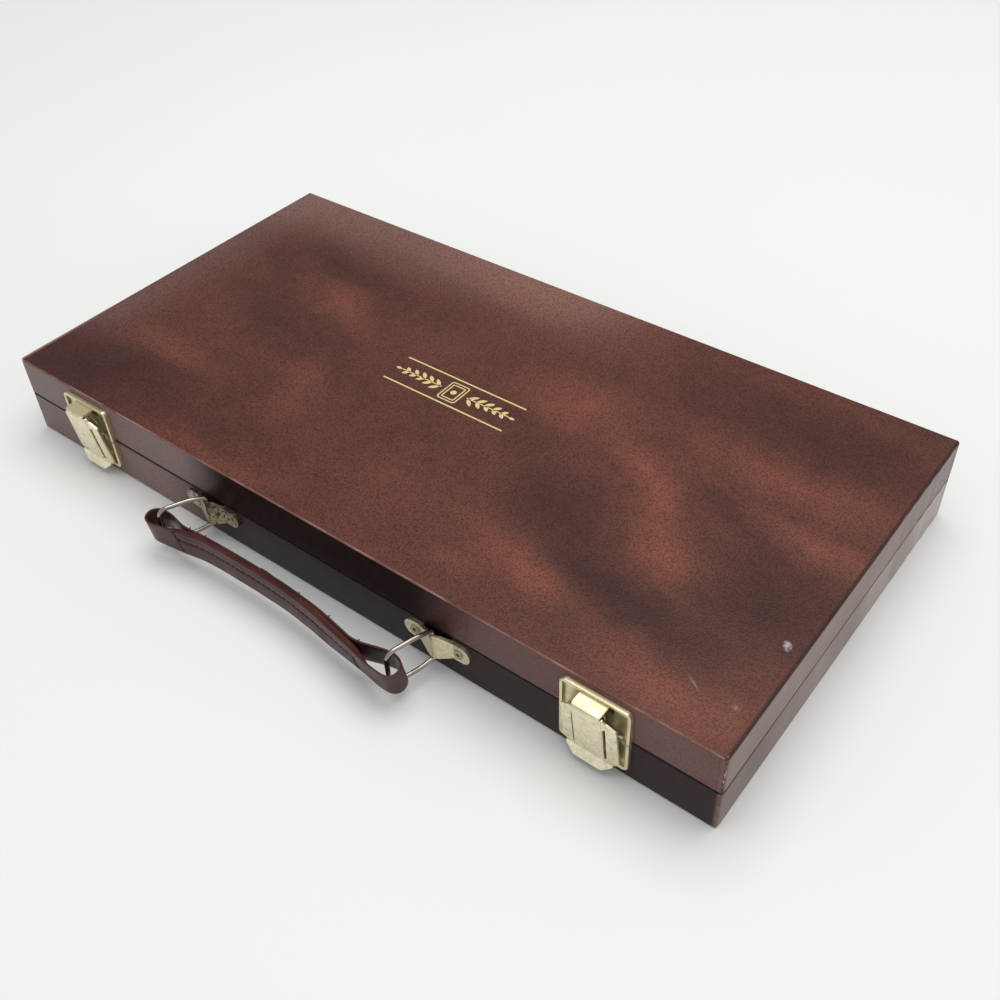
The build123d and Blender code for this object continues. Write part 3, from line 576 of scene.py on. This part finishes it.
def base_skin():
    """Base covering: over the four sides, turned in at the rim and lapped under the base."""
    turned, rim = RAIL_INSET + SKIN, BASE_HEIGHT - RIM_RADIUS
    outer = [(turned, BASE_HEIGHT - TURN_IN), (turned, BASE_HEIGHT - 3)]
    outer += arc(turned - LAP_RADIUS, BASE_HEIGHT - LAP_RADIUS, -LAP_RADIUS, 0, -90, 3)
    outer += [(inset, BASE_HEIGHT) for inset in RIM_INSETS] + arc(RIM_RADIUS, rim, RIM_RADIUS, 90, 0)
    outer += arc(EDGE, EDGE, EDGE, 0, -90, 5)
    outer += [(3, 0.0), (6, 0.0), (TURN_UNDER, 0.0)]
    under = SKIN - GLUE_GAP
    inner = [(TURN_UNDER, under), (1.8, under), (SKIN, 1.7), (SKIN, BASE_HEIGHT - SKIN)]
    inner += [(RAIL_INSET, BASE_HEIGHT - SKIN), (RAIL_INSET, BASE_HEIGHT - TURN_IN)]
    case_skin("base_skin", outer, inner, "base", "base_cover")


def case_skin(name, outer, inner, body, node, closed_top=False):
    """Sweep the visible rows with their ripples and the glued rows without them."""
    count = len(perimeter(0))
    rows = outer + inner
    points, faces = [], []
    for index, (inset, z) in enumerate(rows):
        rippled = index < len(outer) and inset < RIPPLED_INSET
        for x, y in perimeter(inset):
            points.append(pulled_in(x, y, z) if rippled else (x, y, z))
    for row in range(len(rows) - 1):
        first, second = row * count, (row + 1) * count
        if closed_top and row == len(outer) - 1:
            faces.append(tuple(range(first, second)))
            faces.append(tuple(reversed(range(second, second + count))))
        else:
            bridge(faces, first, second, count)
    bridge(faces, (len(rows) - 1) * count, 0, count)
    piece = make_piece(name, points, faces, materials["vinyl"], body)
    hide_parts(node)


def pulled_in(x, y, z):
    """Move a point of the outer face towards the board by its ripple."""
    out_x = max(abs(x) - (LENGTH / 2 - FACE_DEPTH), 0) * math.copysign(1, x)
    out_y = max(abs(y) - (WIDTH / 2 - FACE_DEPTH), 0) * math.copysign(1, y)
    away = Vector((out_x, out_y))
    if away.length == 0:
        return (x, y, z)
    away.normalize()
    push = ripple(x, y, z)
    return (x - away.x * push, y - away.y * push, z)


# ---------------------------------------------------------------- handle strap

# outline of the folded strap at its top edge: (x, out), from the left tip along the front
STRAP_OUTLINE = [
    (-79.3, 21.0), (-78.9, 23.4), (-77.6, 25.5), (-75.3, 26.7), (-72.4, 26.9), (-68.0, 26.0), (-62.0, 24.5),
    (-55.0, 22.8), (-47.0, 21.3), (-38.0, 20.7), (-28.0, 20.5), (-18.0, 20.4), (-8.0, 20.5), (3.0, 20.8),
    (12.0, 21.6), (22.0, 22.8), (33.0, 24.8), (44.0, 26.9), (54.0, 28.6), (60.0, 29.3), (64.4, 29.3),
    (66.9, 28.3), (68.2, 26.3), (68.3, 23.5), (67.0, 20.8), (64.4, 19.0), (61.0, 18.1), (57.4, 18.4),
    (53.5, 19.4), (49.5, 20.6), (45.5, 21.6), (41.0, 21.8), (34.5, 20.7), (27.0, 19.4), (19.0, 18.3),
    (11.0, 17.7), (1.0, 17.1), (-12.0, 16.9), (-24.0, 17.0), (-36.0, 17.3), (-46.7, 17.7), (-55.0, 18.4),
    (-60.5, 18.5), (-66.0, 17.5), (-71.6, 16.8), (-75.6, 17.2), (-78.2, 18.8),
]
SPLINE_STEPS = 10
LAYER = 0.95
CREASE = 0.35
LIP = 0.38
ROUND = 0.1
STRAP_TOP = STRAP_LOW + STRAP_WIDTH
STITCH_Z = 15.4
STITCH_ENDS = (-59.6, 45.0)
STITCH_PITCH, STITCH_LENGTH, STITCH_SLANT = 3.05, 1.75, 0.9
STITCH_STEPS, SEAM_STEPS = 6, 12
STITCH_RADIUS, SEAM_RADIUS = 0.26, 0.24
FILLER_ENDS, FILLER_STEP = (-66.5, 56.5), 1.1


def strap_curve():
    """Catmull-Rom curve through the closed strap outline."""
    curve = []
    total = len(STRAP_OUTLINE)
    for i in range(total):
        p0, p1, p2, p3 = (Vector(STRAP_OUTLINE[(i + k) % total]) for k in (-1, 0, 1, 2))
        for step in range(SPLINE_STEPS):
            t = step / SPLINE_STEPS
            curve.append(0.5 * (2 * p1 + (p2 - p0) * t + (2 * p0 - 5 * p1 + 4 * p2 - p3) * t ** 2
                                + (3 * p1 - p0 - 3 * p2 + p3) * t ** 3))
    return curve


def lean(x, z):
    """Outward shift of the strap with height: both loops lean out at their top edge."""
    below = (STRAP_TOP - z) / STRAP_WIDTH
    return -below * (1.7 * smooth(-x, 52, 74) + 2.2 * smooth(x, 20, 54))


def inward(curve, i):
    """Unit normal that points into the closed outline."""
    run = curve[(i + 1) % len(curve)] - curve[i - 1]
    run.normalize()
    return Vector((run.y, -run.x))


def seam_depth(x, z):
    """Depth of the stitched groove and of the two cross seams in the front face."""
    low, high = STITCH_ENDS
    inside = smooth(x, low - 0.6, low + 0.4) * (1 - smooth(x, high - 0.4, high + 0.6))
    depth = 0.46 * inside * math.exp(-((z - STITCH_Z) / 0.62) ** 2)
    left = low - 0.9 + 3.4 * ((STRAP_TOP - z) / STRAP_WIDTH) ** 1.6
    right = high + 0.8 + 1.6 * max(STITCH_Z - z, 0) / 8
    depth += 0.42 * math.exp(-((x - left) / 0.45) ** 2)
    if z < STITCH_Z + 0.6:
        depth += 0.46 * math.exp(-((x - right) / 0.5) ** 2)
    pad = inside * (0.22 * math.exp(-((z - 17.8) / 1.2) ** 2) + 0.20 * math.exp(-((z - 11.6) / 2.2) ** 2))
    return depth - pad


def strap_rows():
    """(depth, z) of the band's section, up its outer side and down its inner side."""
    low, height = STRAP_LOW + CREASE, STRAP_WIDTH - 2 * CREASE
    rows = [(0.0, low + height * i / 34) for i in range(35)]
    rows += [(ROUND, STRAP_TOP - ROUND), (LIP, STRAP_TOP)]
    rows += [(LAYER - LIP, STRAP_TOP), (LAYER - ROUND, STRAP_TOP - ROUND)]
    rows += [(LAYER, STRAP_TOP - CREASE - height * i / 6) for i in range(7)]
    rows += [(LAYER - ROUND, STRAP_LOW + ROUND), (LAYER - LIP, STRAP_LOW)]
    return rows + [(LIP, STRAP_LOW), (ROUND, STRAP_LOW + ROUND)]


def strap_skin():
    """Outer layer of the strap: one band round both loops, padded along its stitching."""
    curve = strap_curve()
    rows = strap_rows()
    points, faces = [], []
    for depth, z in rows:
        for i, plan in enumerate(curve):
            into = inward(curve, i)
            wave = 0.10 * wavy(plan.x * 0.09, plan.y * 0.09, z * 0.05)
            on_front = depth == 0 and into.y < -0.3
            spot = plan + into * (depth + wave + (seam_depth(plan.x, z) if on_front else 0.0))
            points.append((spot.x, FRONT - spot.y - lean(plan.x, z), z + 0.12 * wave))
    count = len(curve)
    for row in range(len(rows)):
        bridge(faces, row * count, ((row + 1) % len(rows)) * count, count)
    piece = make_piece("handle_strap_skin", points, faces, materials["strap"], "strap", 50)
    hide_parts("handle_strap", "handle_core")


def run_of(curve, low, high, front):
    """Points of the outline's front or back run between two x values, left to right."""
    run = []
    for i, plan in enumerate(curve):
        into = inward(curve, i)
        if low <= plan.x <= high and (into.y < -0.2) == front and abs(into.y) > 0.2:
            run.append(plan + into * (LAYER + 0.05))
    return sorted(run, key=lambda p: p.x)


def height_at(run, x):
    """Out value of a run at x, straight between its points."""
    for a, b in zip(run, run[1:]):
        if a.x <= x <= b.x:
            return a.y + (b.y - a.y) * (x - a.x) / max(b.x - a.x, 1e-6)
    return run[0].y if x < run[0].x else run[-1].y


def filler_section(x, thick, height):
    """(distance behind the front run, drop from the top) round the layers at one station."""
    fuzz = 0.08 * wavy(x * 0.7, 0, 5.0)
    gap = 0.22 + 0.06 * wavy(x * 0.15, 2.0, 0.0)
    section = [
        (0.0, -height), (0.0, -0.14), (0.06, -0.02), (0.30 - gap / 4, fuzz), (0.36, -0.2), (0.42, -0.2),
        (0.46 + gap / 4, fuzz), (0.68, -0.03), (0.74, -0.18), (0.80, -0.18), (0.86, -0.05), (1.0, -0.16),
        (1.0, -height),
    ]
    return [(thick * share, drop) for share, drop in section]


def strap_filler():
    """Inner layers between the two runs of the band, thinning out into each loop."""
    curve = strap_curve()
    front, back = (run_of(curve, -68.5, 58.5, side) for side in (True, False))
    start, end = FILLER_ENDS
    stations = [start + i * FILLER_STEP for i in range(int((end - start) / FILLER_STEP))]
    top, low = STRAP_TOP - 0.25, STRAP_LOW + 0.25
    points, faces = [], []
    for x in stations:
        outer = height_at(front, x)
        waist = outer - height_at(back, x) if -58 < x < 41 else 9.0
        taper = 0.3 + 1.7 * min(smooth(x, start, -56), 1 - smooth(x, 44, 56))
        thick = max(min(waist - 0.02, taper), 0.2)
        section = filler_section(x, thick, top - low)
        for behind, drop in section:
            z = top + drop
            points.append((x, FRONT - outer + behind - lean(x, z), z))
    size = len(section)
    for i in range(len(stations) - 1):
        for k in range(size):
            j = (k + 1) % size
            faces.append((i * size + k, (i + 1) * size + k, (i + 1) * size + j, i * size + j))
    faces.append(tuple(range(size)))
    faces.append(tuple(reversed([(len(stations) - 1) * size + k for k in range(size)])))
    make_piece("handle_strap_filler", points, faces, materials["strap_cut"], "strap", 50)


def tube_steps(count, radius):
    """(path index, share of the radius, slip along the path) of each ring of a tube."""
    rings = [(0, 0.0, -radius), (0, 0.6, -0.75 * radius)]
    rings += [(i, 1.0, 0.0) for i in range(count)]
    return rings + [(count - 1, 0.6, 0.75 * radius), (count - 1, 0.0, radius)]


def tube(points, faces, path, radius, sides=8):
    """Add a closed tube with rounded ends along a path of vectors."""
    start, end = len(points), len(path) - 1
    rings = tube_steps(len(path), radius)
    for i, share, slip in rings:
        run = (path[min(i + 1, end)] - path[max(i - 1, 0)]).normalized()
        side = run.orthogonal().normalized()
        up = run.cross(side)
        reach = radius * max(share, 0.05)
        centre = path[i] + run * slip
        for k in range(sides):
            angle = 2 * math.pi * k / sides
            points.append(tuple(centre + (side * math.cos(angle) + up * math.sin(angle)) * reach))
    for row in range(len(rings) - 1):
        bridge(faces, start + row * sides, start + (row + 1) * sides, sides)
    faces.append(tuple(start + k for k in reversed(range(sides))))
    faces.append(tuple(start + (len(rings) - 1) * sides + k for k in range(sides)))


# loose thread ends: (x, out, z) of the root and the way each one curls
TUFTS = [
    ((-60.2, 24.0, 19.9), (-0.5, 0.5, 0.5)), ((-61.0, 23.9, 19.6), (0.4, 0.6, 0.4)),
    ((-46.9, 17.9, 20.5), (0.3, -0.4, 0.5)), ((9.4, 17.9, 20.5), (-0.3, -0.5, 0.5)),
    ((27.5, 19.7, 20.5), (0.2, -0.5, 0.5)), ((45.3, 21.8, 20.5), (0.3, -0.4, 0.4)),
    ((47.2, 24.9, 8.6), (-0.6, 0.5, -0.5)), ((46.6, 25.3, 9.6), (0.6, 0.6, -0.3)),
    ((-55.6, 18.6, 20.5), (-0.4, -0.4, 0.4)),
]
TUFT_STEPS = (0, 0.3, 0.6, 0.9, 1.1)
# cross seams: x at the top and at the bottom, and their heights
CROSS_SEAMS = [(-60.4, -57.6, 18.2, 9.2), (45.8, 47.4, 15.4, 8.6)]


def stitch(face, x):
    """Path of one slanted stitch from x, humped out of its groove."""
    path = []
    for step in range(STITCH_STEPS + 1):
        share = step / STITCH_STEPS
        at = x + STITCH_LENGTH * step / STITCH_STEPS
        hump = 0.34 * math.sin(math.pi * share) - 0.36
        out = FRONT - height_at(face, at) - hump - lean(at, STITCH_Z)
        path.append(Vector((at, out, STITCH_Z + STITCH_SLANT * (share - 0.5))))
    return path


def cross_seam(face, top_x, low_x, high, low):
    """Path of a seam down the front face, dipping in and out of the leathercloth."""
    path = []
    for step in range(SEAM_STEPS + 1):
        z = high + (low - high) * step / SEAM_STEPS
        at = top_x + (low_x - top_x) * step / SEAM_STEPS
        dip = 0.12 * math.cos(step * math.pi)
        path.append(Vector((at, FRONT - height_at(face, at) + 0.10 + dip - lean(at, z), z)))
    return path


def tuft(root, curl):
    """Path of a loose thread end."""
    x, out, z = root
    dx, dout, dz = curl
    path = []
    for t in TUFT_STEPS:
        path.append(Vector((x + dx * t, FRONT - out - dout * t - lean(x, z), z + dz * t - 0.5 * t * t * dz)))
    return path


def stitching():
    """Sunk stitches along the front face, the two cross seams and the loose thread ends."""
    curve = strap_curve()
    face = sorted((p for i, p in enumerate(curve) if inward(curve, i).y < -0.3), key=lambda p: p.x)
    points, faces = [], []
    x, last = STITCH_ENDS[0], STITCH_ENDS[1] - 2.0
    while x < last:
        tube(points, faces, stitch(face, x), STITCH_RADIUS)
        x += STITCH_PITCH
    for root, curl in TUFTS:
        tube(points, faces, tuft(root, curl), STITCH_RADIUS, 6)
    for seam in CROSS_SEAMS:
        tube(points, faces, cross_seam(face, *seam), SEAM_RADIUS)
    long_end = [
        Vector((-13.4 + 1.5 * i, FRONT - 16.95 - 0.015 * i * i, 20.45 + 0.12 * math.sin(i * 0.6)))
        for i in range(9)
    ]
    tube(points, faces, long_end, SEAM_RADIUS, 6)
    make_piece("handle_stitching", points, faces, materials["thread"], "strap", 60)


# ---------------------------------------------------------------- foil ornament

FOIL_TOP = HEIGHT + 0.03
FOIL_LOW = FOIL_TOP - FOIL
ORNAMENT_X, ORNAMENT_Y = -4.5, 0.5
TILE_HALF = (5.2, 6.6)
TILE_STEP = 1.6
TILE_LINE = 0.65
SPRAY_START, SPRAY_END = 7.4, 31.0
LEAF_START, LEAF_PITCH, LEAF_TILT = 8.2, 4.6, 42
LEAVES = 5
LEAF_STEPS = 6
RULE_HALF, RULE_DROP = 34.5, 9.0


def foil_band(points, faces, outer, inner):
    """Raised line between two outlines with the same number of plan points."""
    start, count = len(points), len(outer)
    for outline, z in ((outer, FOIL_LOW), (outer, FOIL_TOP), (inner, FOIL_TOP), (inner, FOIL_LOW)):
        points.extend((x, y, z) for x, y in outline)
    for row in range(4):
        bridge(faces, start + row * count, start + ((row + 1) % 4) * count, count)


def foil_patch(points, faces, outline):
    """Solid raised shape inside an outline of plan points."""
    start, count = len(points), len(outline)
    for z in (FOIL_LOW, FOIL_TOP):
        points.extend((x, y, z) for x, y in outline)
    bridge(faces, start, start + count, count)
    faces.append(tuple(start + k for k in reversed(range(count))))
    faces.append(tuple(start + count + k for k in range(count)))


def rounded_outline(x, y, half_x, half_y, radius):
    """Counter-clockwise rectangle round (x, y) with rounded corners."""
    outline = []
    for index, (sx, sy) in enumerate(((1, 1), (-1, 1), (-1, -1), (1, -1))):
        for step in range(5):
            angle = math.radians(90 * index + 22.5 * step)
            outline.append((x + sx * (half_x - radius) + radius * math.cos(angle),
                            y + sy * (half_y - radius) + radius * math.sin(angle)))
    return outline


def leaf(x, y, length, width, turn):
    """Pointed leaf that grows from (x, y) in the direction `turn` degrees."""
    along = Vector((math.cos(math.radians(turn)), math.sin(math.radians(turn))))
    across = Vector((-along.y, along.x))
    root = Vector((x, y))
    outline = []
    there = [(-1, step) for step in range(LEAF_STEPS + 1)]
    back = [(1, step) for step in range(LEAF_STEPS - 1, 0, -1)]
    for side, step in there + back:
        t = step / LEAF_STEPS
        spot = root + along * length * t + across * side * width / 2 * math.sin(math.pi * t) ** 0.8
        outline.append((spot.x, spot.y))
    return outline


def tile_outline(points, faces):
    """Two nested frames of a blank tile with a dot in its middle."""
    for grow in (0.0, TILE_STEP):
        half_x, half_y = (half - grow for half in TILE_HALF)
        outer = rounded_outline(ORNAMENT_X, ORNAMENT_Y, half_x, half_y, 1.5 - grow / 2)
        half_x, half_y = half_x - TILE_LINE, half_y - TILE_LINE
        inner = rounded_outline(ORNAMENT_X, ORNAMENT_Y, half_x, half_y, 1.1 - grow / 2)
        foil_band(points, faces, outer, inner)
    foil_patch(points, faces, rounded_outline(ORNAMENT_X, ORNAMENT_Y, 1.5, 1.5, 1.49))


def spray(points, faces, side):
    """Laurel spray that grows away from the tile."""
    outward = 0 if side > 0 else 180
    for index in range(LEAVES):
        stem_x = ORNAMENT_X + side * (LEAF_START + index * LEAF_PITCH)
        stem_y = ORNAMENT_Y + 0.9 * math.sin(index * 0.7)
        length = 5.6 - 0.45 * index
        for tilt in (-1, 1):
            foil_patch(points, faces, leaf(stem_x, stem_y, length, 1.9, outward + side * tilt * LEAF_TILT))
    tip = ORNAMENT_X + side * SPRAY_END
    foil_patch(points, faces, leaf(tip, ORNAMENT_Y + 0.2, 3.6, 1.5, outward))
    low, high = sorted((ORNAMENT_X + side * SPRAY_START, tip))
    stem = rounded_outline((low + high) / 2, ORNAMENT_Y + 0.4, (high - low) / 2, 0.28, 0.25)
    foil_patch(points, faces, stem)


def ornament():
    """Generic foil device: a laurel spray on each side of a blank tile, between two rules."""
    points, faces = [], []
    tile_outline(points, faces)
    for side in (-1, 1):
        spray(points, faces, side)
    for y in (ORNAMENT_Y - RULE_DROP, ORNAMENT_Y + RULE_DROP):
        foil_patch(points, faces, rounded_outline(ORNAMENT_X, y, RULE_HALF, 0.42, 0.38))
    make_piece("lid_foil_ornament", points, faces, materials["foil"], "lid")


# ---------------------------------------------------------------- stage

CAMERA_RIGHT = Vector((0.79193022, 0.60977264, -0.03199787))
CAMERA_DOWN = Vector((0.39749544, -0.55460063, -0.73103729))
CAMERA_AHEAD = Vector((-0.46351258, 0.56621151, -0.68158683))
CAMERA_PLACE = Vector((0.27293, -0.30852, 0.36088))
SENSOR_WIDTH, LENS = 36, 41.341
KEY_PLACE, KEY_SIZE, KEY_POWER = Vector((0.05, 0.3, 1.7)), 1.8, 21
KEY_COLOUR = (1.0, 0.985, 0.96)
WORLD_COLOUR = (0.95, 0.98, 1.0, 1)
# cosines to the lid's mirror direction between which the world's strength falls, and its two strengths
WORLD_RANGE = (0.2, 0.9, 0.66, 0.40)
FLOOR_HALF = 4


def make_key():
    """Broad soft lamp above the case."""
    lamp = bpy.data.objects.new("key", bpy.data.lights.new("key", "AREA"))
    lamp.data.shape = "DISK"
    lamp.data.size = KEY_SIZE
    lamp.data.energy = KEY_POWER
    lamp.data.color = KEY_COLOUR
    lamp.location = KEY_PLACE
    lamp.rotation_euler = (-KEY_PLACE).to_track_quat("-Z", "Y").to_euler()
    scene.collection.objects.link(lamp)


def make_camera():
    """Camera from its three axes and its place."""
    camera = bpy.data.objects.new("camera", bpy.data.cameras.new("camera"))
    scene.collection.objects.link(camera)
    turn = Matrix((CAMERA_RIGHT, -CAMERA_DOWN, -CAMERA_AHEAD)).transposed().to_4x4()
    turn.translation = CAMERA_PLACE
    camera.matrix_world = turn
    camera.data.sensor_width = SENSOR_WIDTH
    camera.data.lens = LENS
    scene.camera = camera


def make_world():
    """White room, dimmer on the side that the lid's sheen looks at."""
    world = bpy.data.worlds.new("studio")
    world.use_nodes = True
    scene.world = world
    tree = world.node_tree
    background = tree.nodes["Background"]
    direction = tree.nodes.new("ShaderNodeTexCoord").outputs["Generated"]
    facing = tree.nodes.new("ShaderNodeVectorMath")
    facing.operation = "DOT_PRODUCT"
    facing.inputs[1].default_value = LID_MIRROR
    tree.links.new(direction, facing.inputs[0])
    dim = tree.nodes.new("ShaderNodeMapRange")
    dim.interpolation_type = "SMOOTHSTEP"
    for name, value in zip(RANGE_SOCKETS, WORLD_RANGE):
        dim.inputs[name].default_value = value
    tree.links.new(facing.outputs["Value"], dim.inputs["Value"])
    background.inputs["Color"].default_value = WORLD_COLOUR
    tree.links.new(dim.outputs["Result"], background.inputs["Strength"])


def make_floor():
    """Plain pale floor that keeps the case's shadow."""
    mesh = bpy.data.meshes.new("floor")
    corners = [(x * FLOOR_HALF, y * FLOOR_HALF, 0) for x, y in ((-1, -1), (1, -1), (1, 1), (-1, 1))]
    mesh.from_pydata(corners, [], [(0, 1, 2, 3)])
    floor = bpy.data.objects.new("floor", mesh)
    scene.collection.objects.link(floor)
    f = Finish("floor_white")
    tone = f.blend(f.noise(400, 2), (0.85, 0.85, 0.84), (0.88, 0.88, 0.875))
    floor.data.materials.append(f.done(tone, 0.6, f.bump(f.noise(1.5, 3), 0.03, 0.3)))


# ---------------------------------------------------------------- build

make_camera()
make_world()
make_key()
make_floor()
materials = {
    "vinyl": vinyl(),
    "strap": strap_leather("strap_oxblood", (0.030, 0.0100, 0.0095), (0.088, 0.0330, 0.0300)),
    "strap_cut": strap_leather("strap_cut_edge", (0.030, 0.0075, 0.0060), (0.120, 0.0330, 0.0240)),
    "brass": metal("brass_plated", (0.84, 0.745, 0.49), (0.55, 0.46, 0.29), 0.36, 0.62),
    "lever": metal("brass_worn", (0.96, 0.89, 0.66), (0.46, 0.39, 0.27), 0.34, 0.60, dirt=0.6, size=3.2),
    "antique": metal(
        "nickel_antique", (0.46, 0.39, 0.26), (0.09, 0.070, 0.048), 0.26, 0.48, dirt=0.9, size=1.6,
    ),
    "aged_brass": metal(
        "brass_aged", (0.80, 0.71, 0.49), (0.20, 0.155, 0.095), 0.30, 0.60, dirt=0.8, size=1.8,
    ),
    "wire": metal("nickel_wire", (0.40, 0.355, 0.30), (0.24, 0.20, 0.155), 0.18, 0.58, pits=0.004),
    "rivet": metal("nickel_rivet", (0.50, 0.44, 0.31), (0.16, 0.125, 0.085), 0.22, 0.55, dirt=0.8),
    "steel": metal("steel_bright", (0.55, 0.55, 0.54), (0.35, 0.33, 0.30), 0.25, 0.6),
    "board": board("greyboard", (0.20, 0.15, 0.10), (0.32, 0.25, 0.18)),
    "rail": board("softwood_rail", (0.36, 0.24, 0.13), (0.50, 0.36, 0.21)),
    "lining": lining(),
    "flock": flock(),
    "thread": thread(),
    "foil": foil(),
    "core": backing(),
}
paint(materials["board"], "base_bottom_board", "lid_top_board")
for side in ("front", "back", "left", "right"):
    paint(materials["rail"], "base_" + side + "_rail", "lid_" + side + "_rail")
paint(materials["lining"], "lid_lining", "base_bottom_sheet")
paint(materials["flock"], "insert_tray")
paint(materials["core"], "handle_core")
for side in ("left", "right"):
    latch, hinge = "latch_" + side, "hinge_" + side
    paint(materials["brass"], latch + "_lid_plate", latch + "_base_plate")
    paint(materials["brass"], hinge + "_base_leaf", hinge + "_lid_leaf")
    paint(materials["lever"], latch + "_lever")
    paint(materials["steel"], latch + "_pin", latch + "_springs", hinge + "_pin")
    paint(materials["wire"], "handle_ring_" + side)
paint(materials["brass"], "latch_lid_rivets", "latch_base_rivets", "hinge_base_screws", "hinge_lid_screws")
paint(materials["rivet"], "handle_bracket_rivets")
paint(materials["antique"], "handle_bracket_left")
paint(materials["aged_brass"], "handle_bracket_right")
lid_skin()
base_skin()
strap_skin()
strap_filler()
stitching()
ornament()

scene.view_settings.view_transform = "Standard"
